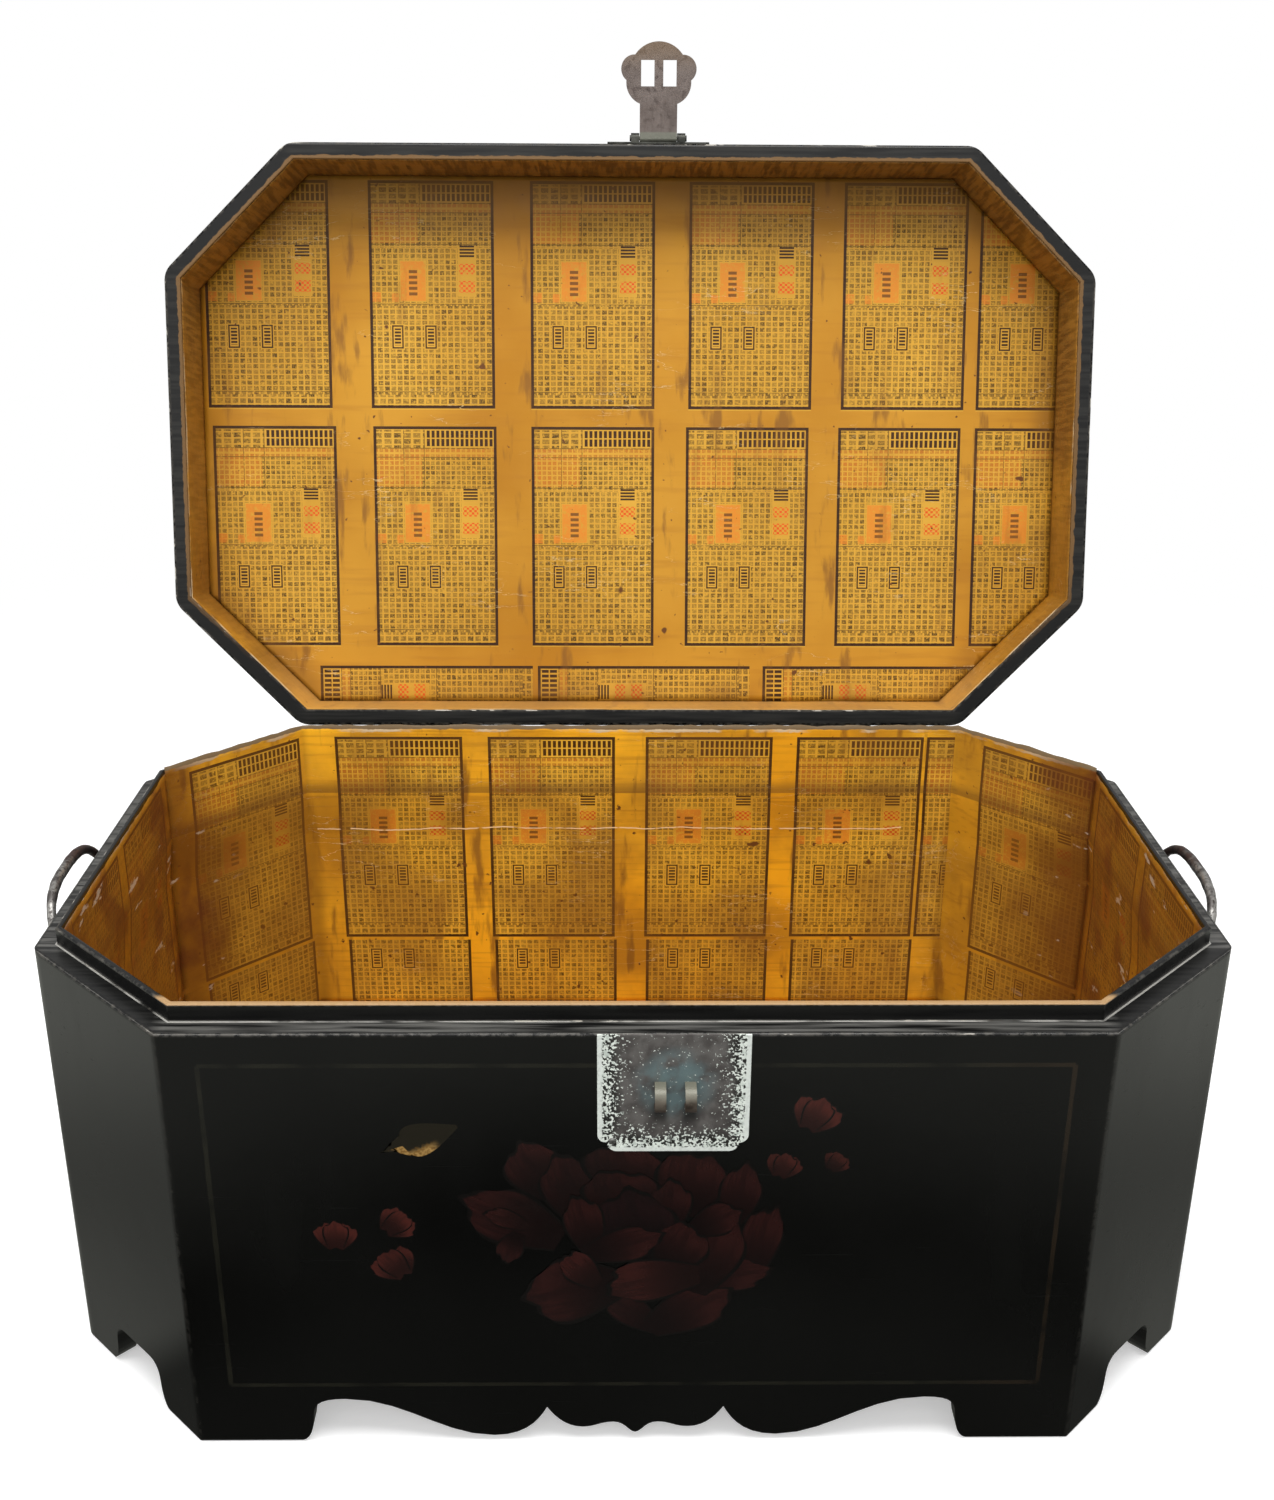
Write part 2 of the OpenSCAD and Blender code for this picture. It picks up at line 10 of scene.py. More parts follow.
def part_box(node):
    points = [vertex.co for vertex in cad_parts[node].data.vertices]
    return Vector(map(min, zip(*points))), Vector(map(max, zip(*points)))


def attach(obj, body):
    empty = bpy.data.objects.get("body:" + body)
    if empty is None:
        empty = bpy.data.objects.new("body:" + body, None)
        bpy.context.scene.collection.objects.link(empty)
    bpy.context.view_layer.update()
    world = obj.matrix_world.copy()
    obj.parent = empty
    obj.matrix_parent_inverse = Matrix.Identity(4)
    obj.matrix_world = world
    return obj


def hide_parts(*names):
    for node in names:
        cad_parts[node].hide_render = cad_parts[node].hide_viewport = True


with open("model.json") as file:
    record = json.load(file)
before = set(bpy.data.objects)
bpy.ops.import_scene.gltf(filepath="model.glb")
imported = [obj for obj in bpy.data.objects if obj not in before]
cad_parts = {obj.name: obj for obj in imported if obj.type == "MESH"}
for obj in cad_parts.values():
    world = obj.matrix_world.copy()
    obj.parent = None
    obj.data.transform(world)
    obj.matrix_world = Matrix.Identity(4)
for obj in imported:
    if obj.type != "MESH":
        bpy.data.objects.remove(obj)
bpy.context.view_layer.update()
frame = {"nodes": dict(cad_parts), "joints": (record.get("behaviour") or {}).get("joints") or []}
nodes = frame["nodes"]
joints = {joint["name"]: joint for joint in frame["joints"]}

# The camera stands a little left of the middle and looks down into the open
# trunk, at the photograph's own height, distance and angle.
EYE = Vector((-0.0147, -1.3055, 0.9181))
TURN, TILT, ROLL = -0.014, math.radians(68.01), 0.0061
FRAME_HEIGHT = 1500
FOCAL_PIXELS = 1661.4

camera = bpy.data.objects.new("camera", bpy.data.cameras.new("camera"))
bpy.context.scene.collection.objects.link(camera)
camera.data.sensor_width = 36
camera.data.lens = FOCAL_PIXELS * camera.data.sensor_width / FRAME_HEIGHT
camera.matrix_world = (Matrix.Translation(EYE) @ Matrix.Rotation(TURN, 4, "Z")
                       @ Matrix.Rotation(TILT, 4, "X") @ Matrix.Rotation(ROLL, 4, "Z"))
bpy.context.scene.camera = camera
bpy.context.scene.view_settings.view_transform = "Standard"


# The studio: a pale floor that fades into a white room, a wide soft lamp over the
# trunk, a weaker one in front of it, and a weaker one still at each side.
class Finish:
    """A surface finish: a material, its shader and short calls that add nodes to it."""

    def __init__(self, name, **sockets):
        self.material = bpy.data.materials.new(name)
        self.material.use_nodes = True
        self.tree = self.material.node_tree
        self.shader = self.tree.nodes["Principled BSDF"]
        self.paint(**sockets)

    def add(self, kind, values=(), out=0, **settings):
        """Adds a node, fills its inputs in order with numbers or sockets, and hands back an output."""
        node = self.tree.nodes.new("ShaderNode" + kind)
        for setting, value in settings.items():
            setattr(node, setting, value)
        for index, value in values.items() if isinstance(values, dict) else enumerate(values):
            self.join(value, node.inputs[index])
        return node.outputs[out]

    def join(self, value, socket):
        if isinstance(value, bpy.types.NodeSocket):
            self.tree.links.new(value, socket)
        else:
            socket.default_value = value

    def paint(self, **sockets):
        """Sets the shader's own sockets, with _ for a space in their names."""
        for socket, value in sockets.items():
            self.join(value, self.shader.inputs[socket.replace("_", " ")])

    def sum(self, operation, *values):
        """One step of arithmetic on numbers or sockets."""
        return self.add("Math", values, operation=operation)

    def fade(self, value, low, high):
        """0 where value is at low, 1 where it is at high, smooth between them."""
        return self.add("MapRange", [value, low, high], interpolation_type="SMOOTHSTEP")

    def within(self, value, low, high):
        """1 where value lies from low to high, else 0."""
        return self.sum("COMPARE", value, (low + high) / 2, (high - low) / 2)

    def off(self, value, middle):
        """How far value lies from middle, either way."""
        return self.sum("ABSOLUTE", self.sum("SUBTRACT", value, middle))

    def all_of(self, first, *others):
        """The amounts multiplied together."""
        for other in others:
            first = self.sum("MULTIPLY", first, other)
        return first

    def any_of(self, first, *others):
        """The largest of the amounts."""
        for other in others:
            first = self.sum("MAXIMUM", first, other)
        return first

    def cloud(self, where, scale, detail=3.0, stretch=(1, 1, 1)):
        """Soft random pattern from 0 to 1; scale counts its patches to the metre."""
        if tuple(stretch) != (1, 1, 1):
            where = self.add("VectorMath", [where, stretch], operation="MULTIPLY")
        return self.add("TexNoise", {"Vector": where, "Scale": scale, "Detail": detail})

    def blend(self, amount, painted_shade_amount, over):
        """Lays one colour over another by an amount from 0 to 1."""
        return self.add("Mix", {0: amount, 6: painted_shade_amount, 7: over}, out=2, data_type="RGBA")

    def relief(self, height, distance, strength=1.0):
        self.paint(Normal=self.add("Bump", {"Strength": strength, "Distance": distance, "Height": height}))

    def coat(self, *names):
        """Gives the finish to the parts named."""
        for name in names:
            nodes[name].data.materials.clear()
            nodes[name].data.materials.append(self.material)


pale = Finish("pale_floor", Base_Color=(0.4, 0.4, 0.4, 1), Roughness=0.9)
ground = pale.add("TexCoord", out=3)
spread = pale.add("VectorMath", [ground], out=1, operation="LENGTH")
aside = pale.sum("ABSOLUTE", pale.add("SeparateXYZ", [ground]))
beside = pale.sum("ADD", aside, pale.sum("MULTIPLY", pale.add("SeparateXYZ", [ground], out=1), 0.8))
white = pale.add("Emission", {"Color": (1, 1, 1, 1), "Strength": 1})
near = pale.add("AddShader", [pale.add("BsdfDiffuse", {"Color": (0.85, 0.85, 0.85, 1)}),
                              pale.add("Emission", {"Color": (1, 1, 1, 1), "Strength": 0.4})])
shown = pale.add("MixShader", [pale.fade(spread, 0.9, 2.2), near, white])
# For glossy rays the floor glows, dim in front of the trunk, brighter aside and far off: painted reflection.
floor_reflection_glow = pale.sum("ADD", pale.sum("MULTIPLY", pale.fade(beside, 0.11, 0.19), 0.2),
                 pale.sum("MULTIPLY", pale.fade(spread, 0.65, 0.95), 0.31))
floor_reflection_glow = pale.sum("ADD", floor_reflection_glow, pale.sum("MULTIPLY", pale.fade(spread, 0.66, 0.5), 0.06))
painted_reflection = pale.add("Emission", {"Color": (0.98, 1, 0.9, 1), "Strength": pale.sum("ADD", floor_reflection_glow, 0.02)})
path = pale.add("LightPath").node
lit = pale.add("MixShader", [path.outputs["Is Glossy Ray"], pale.shader.outputs[0], painted_reflection])
pale.join(pale.add("MixShader", [path.outputs["Is Camera Ray"], lit, shown]),
          pale.tree.nodes["Material Output"].inputs["Surface"])

FLOOR_HALF, FLOOR_DROP = 9, 0.0003
bm = bmesh.new()
bmesh.ops.create_grid(bm, x_segments=1, y_segments=1, size=FLOOR_HALF)
bmesh.ops.translate(bm, vec=(0, 0, -FLOOR_DROP), verts=bm.verts)
floor = bpy.data.objects.new("floor", bpy.data.meshes.new("floor"))
bm.to_mesh(floor.data)
bm.free()
floor.data.materials.append(pale.material)
bpy.context.scene.collection.objects.link(floor)

ROOM_LIGHT = 0.42
LAMP_AIM = Vector((0, 0, 0.35))
world = bpy.data.worlds.new("room")
world.use_nodes = True
bpy.context.scene.world = world
room = world.node_tree.nodes
room["Background"].inputs["Strength"].default_value = ROOM_LIGHT
room["Background"].inputs["Color"].default_value = (1, 1, 1, 1)
room_white = room.new("ShaderNodeBackground")
room_white.inputs["Color"].default_value = (1, 1, 1, 1)
room_path = room.new("ShaderNodeLightPath")
room_mix = room.new("ShaderNodeMixShader")
for source, target in ((room_path.outputs["Is Camera Ray"], room_mix.inputs[0]),
                       (room["Background"].outputs[0], room_mix.inputs[1]),
                       (room_white.outputs[0], room_mix.inputs[2]),
                       (room_mix.outputs[0], room["World Output"].inputs["Surface"])):
    world.node_tree.links.new(source, target)

for name, spot, width, height, power in (("lamp_front", (-0.2, -2.7, 1.9), 3.6, 2.0, 26),
                                         ("lamp_over", (-0.1, -0.8, 2.9), 2.6, 1.4, 74),
                                         ("lamp_left", (-2.6, -0.8, 1.3), 1.4, 1.6, 9),
                                         ("lamp_right", (2.6, -0.6, 1.3), 1.4, 1.6, 7)):
    lamp = bpy.data.objects.new(name, bpy.data.lights.new(name, "AREA"))
    lamp.data.shape = "RECTANGLE"
    lamp.data.size, lamp.data.size_y = width, height
    lamp.data.energy = power
    lamp.location = spot
    lamp.rotation_euler = (LAMP_AIM - lamp.location).to_track_quat("-Z", "Y").to_euler()
    bpy.context.scene.collection.objects.link(lamp)

# The chest's boards: eight mitred walls and the eight thin boards of the raised lip,
# softwood under black lacquer, polished, and rubbed or chipped along every edge.
LENGTH, DEPTH, LEG = 0.86, 0.535, 0.115
LIP_INSET, LIP_THICK = 0.016, 0.005
CORNER_FROM_X, CORNER_FROM_Y = 0.31, 0.15
MIDDLE_Y = (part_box("front_wall")[0].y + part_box("back_wall")[1].y) / 2
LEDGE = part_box("front_wall")[1].z
LIP_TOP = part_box("front_lip")[1].z
SIDES = ("front", "front_right", "right", "back_right", "back", "back_left", "left", "front_left")
HINGE = Vector(joints["lid_hinge"]["pos_m"])
OPEN = math.radians(joints["lid_hinge"]["range_deg"][1])


def trunk_place(finish, on_lid):
    """Place on the closed trunk, counted from its middle; a pattern stays on it as the lid swings."""
    where = finish.add("TexCoord", out=3)
    if not on_lid:
        return finish.add("Mapping", {"Vector": where, "Location": (0, -MIDDLE_Y, 0)})
    shift = HINGE - Matrix.Rotation(OPEN, 3, "X") @ HINGE - Vector((0, MIDDLE_Y, 0))
    return finish.add("Mapping", {"Vector": where, "Location": shift, "Rotation": (OPEN, 0, 0)})


def split(finish, where):
    """The three numbers of a place."""
    return [finish.add("SeparateXYZ", [where], out=axis) for axis in range(3)]


def wall_distances(finish, x, y):
    """How far a place lies outside the trunk's nearest side, and outside the second nearest."""
    across, along = finish.sum("ABSOLUTE", x), finish.sum("ABSOLUTE", y)
    end = finish.sum("SUBTRACT", across, LENGTH / 2)
    front = finish.sum("SUBTRACT", along, DEPTH / 2)
    corner = finish.sum("SUBTRACT", finish.sum("ADD", across, along), (LENGTH + DEPTH) / 2 - LEG)
    corner = finish.sum("MULTIPLY", corner, math.sqrt(0.5))
    nearest = finish.any_of(corner, end, front)
    second = finish.any_of(finish.sum("MINIMUM", end, corner), finish.sum("MINIMUM", front, corner))
    return nearest, second


def lacquer(name, on_lid, edges, rim, dust_and_sheen_colour):
    """Black lacquer, worn at the upright corners, at the level edges given and on the rim."""
    finish = Finish(name, IOR=1.46)
    where = trunk_place(finish, on_lid)
    x, y, z = split(finish, where)
    nearest, second = wall_distances(finish, x, y)
    ragged = finish.cloud(where, 230, 4)
    patchy = finish.cloud(where, 11, 3)
    rubbed = finish.all_of(finish.fade(second, -0.0018, -0.0008), 0.2)
    crisp = 0
    for inset, level, reach in edges:
        beside = finish.any_of(finish.off(nearest, -inset), finish.off(z, level))
        rubbed = finish.any_of(rubbed, finish.fade(beside, reach, reach * 0.3))
        crisp = finish.sum("MAXIMUM", crisp, finish.fade(beside, reach * 0.5, reach * 0.3))
    flat = finish.all_of(finish.within(z, *rim), finish.fade(nearest, -0.0016, -0.0036))
    breaks = finish.sum("ADD", ragged, finish.sum("MULTIPLY", patchy, 0.5))
    worn = finish.all_of(rubbed, finish.fade(breaks, 0.62, 0.9))
    at_corner = finish.sum("MINIMUM", finish.sum("SUBTRACT", finish.sum("ABSOLUTE", x), CORNER_FROM_X),
                           finish.sum("SUBTRACT", finish.sum("ABSOLUTE", y), CORNER_FROM_Y))
    # The rim's flat top greys, less at the corners: partly dust, partly painted sheen.
    dust_and_sheen = finish.all_of(flat, finish.fade(finish.cloud(where, 260, 4, (0.05, 1, 1)), 0.34, 0.66),
                          finish.add("MapRange", [at_corner, 0, 0.01, 1, 0.08]))
    chips = finish.all_of(crisp, finish.fade(finish.cloud(where, 170, 3, (0.5, 0.5, 2)), 0.56, 0.6),
                          finish.fade(patchy, 0.5, 0.58))
    haze = finish.cloud(where, 4, 4)
    colour = finish.blend(finish.fade(haze, 0.35, 0.7),
                          (0.0018, 0.0018, 0.0016, 1), (0.0036, 0.0036, 0.0031, 1))
    colour = finish.blend(dust_and_sheen, colour, dust_and_sheen_colour)
    colour = finish.blend(worn, colour, (0.06, 0.055, 0.046, 1))
    # Thin pale lines along the lip's foot and the ledge's outer edge: painted highlights.
    painted_edge_highlights = finish.any_of(finish.fade(finish.off(nearest, 0.0006 - LIP_INSET), 0.0009, 0.0005),
                          finish.all_of(finish.fade(nearest, -0.0014, -0.0008), 0.6))
    painted_edge_highlights = finish.all_of(painted_edge_highlights, finish.within(z, LEDGE - 0.0006, LEDGE + 0.0003),
                          finish.fade(finish.cloud(where, 45, 4), 0.3, 0.55))
    colour = finish.blend(painted_edge_highlights, colour, (0.4, 0.39, 0.36, 1))
    colour = finish.blend(chips, colour, (0.5, 0.47, 0.41, 1))
    smears = finish.fade(finish.cloud(where, 34, 5, (0.5, 0.5, 0.14)), 0.45, 0.75)
    scratches = finish.fade(finish.cloud(where, 300, 2, (0.03, 0.4, 1)), 0.68, 0.76)
    gloss = finish.add("MapRange", [haze, 0.3, 0.7, 0.16, 0.27])
    for mark, more in ((smears, 0.08), (scratches, 0.12), (flat, 0.1), (worn, 0.3)):
        gloss = finish.sum("ADD", gloss, finish.sum("MULTIPLY", mark, more))
    sag = finish.sum("ADD", finish.sum("MULTIPLY", finish.cloud(where, 22, 2), 1.5),
                     finish.all_of(rubbed, ragged))
    finish.relief(sag, 0.0004, 0.3)
    finish.paint(Base_Color=colour, Roughness=gloss)
    return finish, where, colour


LEDGE_EDGES = ((0, LEDGE, 0.0026), (LIP_INSET, LEDGE, 0.0014), (LIP_INSET, LIP_TOP, 0.0024))
LEDGE_RIM = (LEDGE - 0.001, LEDGE + 0.001)
# Grey for the ledge's flat top: dust and painted sheen.
LEDGE_DUST_AND_SHEEN = (0.11, 0.108, 0.1, 1)
wall_lacquer, where, colour = lacquer("wall_lacquer", False, LEDGE_EDGES, LEDGE_RIM, LEDGE_DUST_AND_SHEEN)
_, y, z = split(wall_lacquer, where)
bared = wall_lacquer.all_of(wall_lacquer.fade(z, LIP_TOP - 0.0014, LIP_TOP - 0.0006),
                            wall_lacquer.fade(y, -0.238, -0.244),
                            wall_lacquer.fade(wall_lacquer.cloud(where, 24, 3), 0.16, 0.4))
wall_lacquer.paint(Base_Color=wall_lacquer.blend(bared, colour, (0.42, 0.26, 0.12, 1)))
wall_lacquer.coat(*(side + "_wall" for side in SIDES if side != "front"))
wall_lacquer.coat(*(side + "_lip" for side in SIDES))

# The bottom: a softwood board dropped in between the walls, on four strips glued
# to them. Only its dusty underside shows; the top is papered.
softwood = Finish("softwood", Roughness=0.75)
where = trunk_place(softwood, False)
rings = softwood.cloud(where, 36, 5, (0.05, 1, 1))
grain = softwood.cloud(where, 420, 3, (0.04, 1, 1))
wood = softwood.blend(softwood.fade(rings, 0.35, 0.65), (0.3, 0.17, 0.08, 1), (0.17, 0.085, 0.036, 1))
wood = softwood.blend(softwood.fade(grain, 0.5, 0.72), wood, (0.09, 0.045, 0.02, 1))
wood = softwood.blend(softwood.fade(softwood.cloud(where, 7, 5), 0.45, 0.7), wood, (0.075, 0.05, 0.034, 1))
softwood.paint(Base_Color=wood)
softwood.relief(softwood.sum("ADD", rings, grain), 0.0006, 0.6)
softwood.coat("floor_board", "front_cleat", "back_cleat", "left_cleat", "right_cleat")

# The painted front: a thin dull gold line laid on the black lacquer all the way round,
# and inside it a red peony with buds and one gold leaf.
LINE_WIDE, LINE_HALF, LINE_LOW, LINE_HIGH = 0.0036, 0.2885, 0.052, 0.318
front, where, black = lacquer("front_lacquer", False, LEDGE_EDGES, LEDGE_RIM, LEDGE_DUST_AND_SHEEN)
x, y, z = split(front, where)
tall = (LINE_HIGH - LINE_LOW) / 2
beside_upright = front.off(front.sum("ABSOLUTE", x), LINE_HALF)
beside_level = front.off(front.off(z, LINE_LOW + tall), tall)
waver = front.sum("MULTIPLY", front.cloud(where, 60, 2), 0.0012)
upright = front.all_of(front.fade(front.sum("ADD", beside_upright, waver), LINE_WIDE * 0.7, LINE_WIDE * 0.5),
                       front.within(z, LINE_LOW, LINE_HIGH))
level = front.all_of(front.fade(front.sum("ADD", beside_level, waver), LINE_WIDE * 0.7, LINE_WIDE * 0.5),
                     front.within(x, -LINE_HALF, LINE_HALF))
line = front.all_of(front.any_of(upright, level), front.fade(front.cloud(where, 26, 4), 0.25, 0.6),
                    front.fade(y, -DEPTH / 2 + 0.002, -DEPTH / 2 + 0.001))
tone = front.blend(front.fade(x, 0.2, 0.29), (0.013, 0.0125, 0.008, 1), (0.02, 0.013, 0.007, 1))
front.paint(Base_Color=front.blend(line, black, tone))
front.coat("front_wall")

FRONT_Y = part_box("front_wall")[0].y
PAINT = 0.00003
WIDEST = 0.68


def petal_paint(name, tip, body, dark):
    """Thin paint, dark at a petal's foot and outline, with brush streaks along it."""
    finish = Finish(name, Roughness=0.2, IOR=1.46)
    across = finish.add("UVMap", uv_map="petal")
    u, v, _ = split(finish, across)
    streaks = finish.cloud(across, 9, 3, (1.6, 0.25, 1))
    depth = finish.sum("ADD", v, finish.sum("MULTIPLY", streaks, 0.2))
    colour = finish.blend(finish.fade(depth, 0.2, 0.95), dark, body)
    crown = finish.all_of(finish.fade(v, 0.45, 0.86), finish.fade(streaks, 0.42, 0.62))
    colour = finish.blend(crown, colour, tip)
    rubbed = finish.fade(finish.cloud(trunk_place(finish, False), 16, 4), 0.48, 0.7)
    colour = finish.blend(finish.sum("MULTIPLY", rubbed, 0.55), colour, (0.0075, 0.0055, 0.005, 1))
    outline = finish.any_of(finish.fade(finish.off(u, 0.5), 0.42, 0.46), finish.fade(v, 0.92, 0.955))
    finish.paint(Base_Color=finish.blend(outline, colour, (0.0055, 0.0045, 0.004, 1)))
    return finish.material


def painted_petal(into, spot, turn, length, width, layer, curl=0.0, seed=0.0, tip=0.8, foot=0.45):
    """One petal painted on the front board from its foot at spot, turned from straight up."""
    petal = bmesh.new()
    bmesh.ops.create_grid(petal, x_segments=12, y_segments=14, size=0.5)
    uv = petal.loops.layers.uv.new("petal")
    for face in petal.faces:
        for loop in face.loops:
            loop[uv].uv = (loop.vert.co.x + 0.5, loop.vert.co.y + 0.5)
    for vert in petal.verts:
        aside, along = 2 * vert.co.x, vert.co.y + 0.5
        swell = foot + (1 - foot) * math.sin(math.pi / 2 * min(1, along / WIDEST))
        swell *= math.sqrt(1 - (1 - tip * tip) * (max(0, along - WIDEST) / (1 - WIDEST)) ** 2)
        frill = 0.05 * math.sin(4.6 * aside + seed) + 0.035 * math.sin(10 * aside + 2 * seed)
        crown = along * (1 + frill * along) * (1 - 0.24 * aside * aside * along)
        vert.co = (width * (0.5 * aside * swell + curl * crown * crown), length * crown, 0)
    way = (Matrix.Translation((spot[0], FRONT_Y - layer * PAINT, spot[1])) @ Matrix.Rotation(turn, 4, "Y")
           @ Matrix.Rotation(math.radians(90), 4, "X"))
    bmesh.ops.transform(petal, matrix=way, verts=petal.verts)
    merge(into, petal)


def merge(into, part):
    """Adds one bmesh to another and frees it."""
    mesh = bpy.data.meshes.new("part")
    part.to_mesh(mesh)
    part.free()
    into.from_mesh(mesh)
    bpy.data.meshes.remove(mesh)


def finished(bm, name, material, body, thick=0.0, flat=False):
    """Makes a piece of a bmesh, closes a sheet by giving it thickness behind, and lets it ride."""
    mesh = bpy.data.meshes.new(name)
    bm.to_mesh(mesh)
    bm.free()
    mesh.materials.append(material)
    if not flat:
        mesh.shade_smooth()
    piece = bpy.data.objects.new(name, mesh)
    bpy.context.scene.collection.objects.link(piece)
    if thick:
        backing = piece.modifiers.new("backing", "SOLIDIFY")
        backing.thickness = thick
        backing.offset = -1
    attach(piece, body)
    return piece


draw = random.Random(7)
petals = {"dark": bmesh.new(), "red": bmesh.new(), "lit": bmesh.new(), "bright": bmesh.new()}
for layer, (tone, x, z, turn, long, wide) in enumerate((
        ("red", -52, 178, -61, 74, 48), ("red", -58, 216, -30, 46, 42), ("red", -36, 194, -16, 56, 46),
        ("red", -80, 184, -150, 27, 20), ("lit", -74, 189, -64, 32, 16), ("red", -8, 216, 1, 42, 58),
        ("red", 32, 198, 10, 54, 52), ("red", 64, 190, 15, 52, 31), ("red", 76, 142, 14, 67, 31),
        ("red", 34, 145, 84, 60, 30), ("red", 15, 102, -52, 48, 27), ("red", 10, 102, 58, 64, 40),
        ("red", -12, 141, -98, 66, 58), ("red", 38, 134, 21, 69, 50), ("red", -9, 198, -2, 38, 56),
        ("red", 20, 184, 6, 44, 32), ("red", 38, 186, 62, 37, 28), ("dark", 1, 162, 0, 58, 60),
        ("red", -30, 168, -14, 48, 30), ("red", 20, 154, 30, 41, 42), ("red", -36, 166, 74, 56, 30),
        ("lit", -27, 141, -44, 34, 26), ("lit", 44, 149, -97, 66, 38)), start=1):
    painted_petal(petals[tone], (x / 1000, z / 1000), math.radians(turn), long / 1000, wide / 1000, layer,
                  curl=draw.uniform(-0.1, 0.1), seed=draw.uniform(0, 6))
BUD_LONG, BUD_WIDE, BUD_FOOT = 0.022, 0.0185, 0.0105
for x, z, size in ((-206, 183, 1), (-163, 193, 0.95), (-167, 158, 1.1), (119, 279, 1.15), (100, 241, 0.85),
                   (137, 245, 0.65)):
    lean = draw.uniform(-0.9, 0.9)
    foot = Vector((x, z)) / 1000 - BUD_FOOT * Vector((math.sin(lean), math.cos(lean)))
    for petal, side in enumerate((-0.5, 0.5, 0.0)):
        painted_petal(petals["bright"], foot, lean + side, BUD_LONG * size, BUD_WIDE * size,
                      layer=petal + 1, curl=0, seed=draw.uniform(0, 6), tip=0.9, foot=0.6)
for name, tone, tip, body, dark in (
        ("painted_heart", "dark",
         (0.0135, 0.0055, 0.0055, 1), (0.0105, 0.005, 0.005, 1), (0.005, 0.0035, 0.0035, 1)),
        ("painted_peony", "red",
         (0.028, 0.0078, 0.0066, 1), (0.0185, 0.0058, 0.0052, 1), (0.007, 0.0035, 0.0033, 1)),
        ("painted_lit_petals", "lit",
         (0.04, 0.0098, 0.008, 1), (0.028, 0.0076, 0.0064, 1), (0.011, 0.0045, 0.004, 1)),
        ("painted_buds", "bright",
         (0.075, 0.0165, 0.012, 1), (0.049, 0.0125, 0.0095, 1), (0.02, 0.0065, 0.0055, 1))):
    paint = petal_paint(name + "_paint", tip, body, dark)
    finished(petals[tone], name, paint, "chest", PAINT / 2, flat=True)

leaf = bmesh.new()
painted_petal(leaf, (-0.12, 0.271), math.radians(-113), length=0.054, width=0.026,
              layer=1, curl=0.05, seed=1.4, tip=0.05, foot=0.1)
gold = Finish("gold_leaf", Roughness=0.4, Metallic=0.3)
u, v, _ = split(gold, gold.add("UVMap", uv_map="petal"))
flecks = gold.cloud(gold.add("TexCoord", out=3), 700, 3)
bright = gold.all_of(gold.fade(gold.sum("ADD", u, gold.sum("MULTIPLY", flecks, 0.3)), 0.48, 0.3),
                     gold.fade(v, 0.3, 0.5))
tone = gold.blend(gold.fade(flecks, 0.4, 0.62), (0.26, 0.13, 0.025, 1), (0.55, 0.33, 0.1, 1))
gold.paint(Base_Color=gold.blend(bright, (0.018, 0.0145, 0.007, 1), tone))
finished(leaf, "painted_leaf", gold.material, "chest", PAINT / 2, flat=True)

# The chest's lining: sheets printed with a ruled frame full of small hatched marks, varnished
# to a deep gold and pasted on the walls and the floor. Along the back and its two corners the
# paper stands a little above the lip.
PAGE_WIDE, PAGE_TALL, CELL_SCALE = 120, 215, 20
PRINT_WIDE, PRINT_TALL = PAGE_WIDE / 1000, PAGE_TALL / 1000
PAPER = 0.0003
FRAY = 0.0016
CLEAR = 0.0164
WAVE, WRINKLE, PASTED_EDGE = 0.00022, 0.0001, 0.012
BACK_RISE, BACK_SIDES = 0.006, (3, 4, 5)
FLOOR_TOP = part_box("floor_lining")[1].z
PAPER_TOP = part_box("wall_lining")[1].z
LIP_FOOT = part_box("front_lip")[0].z
LEAN_FROM = LIP_FOOT - 0.045


def outline_corner(number, inset):
    """Corner of the eight-sided plan drawn in by inset, counted from the left end of the front."""
    cut = LEG - inset * (2 - math.sqrt(2))
    x, y = LENGTH / 2 - inset, DEPTH / 2 - inset
    spots = ((cut - x, -y), (x - cut, -y), (x, cut - y), (x, y - cut),
             (x - cut, y), (cut - x, y), (-x, y - cut), (-x, cut - y))
    return Vector((*spots[number % 8], 0))


def print_at(left, top, wide=PRINT_WIDE, tall=PRINT_TALL, from_p=0.0, from_q=0.0, turned=False):
    """A print, or the part of it that shows, on a flat panel; a turned one has its head to the left."""
    return left, left + wide, top - tall, top, from_p, from_q, turned


def print_spot(spot, middle, prints):
    """Place on its print, across and down, of a spot on the face with this middle, or a bare place."""
    for left, right, bottom, top, from_p, from_q, turned in prints:
        if left < middle.x < right and bottom < middle.y < top:
            if turned:
                return from_p + spot.y - bottom, from_q + spot.x - left
            return from_p + spot.x - left, from_q + top - spot.y
    return -1, -1


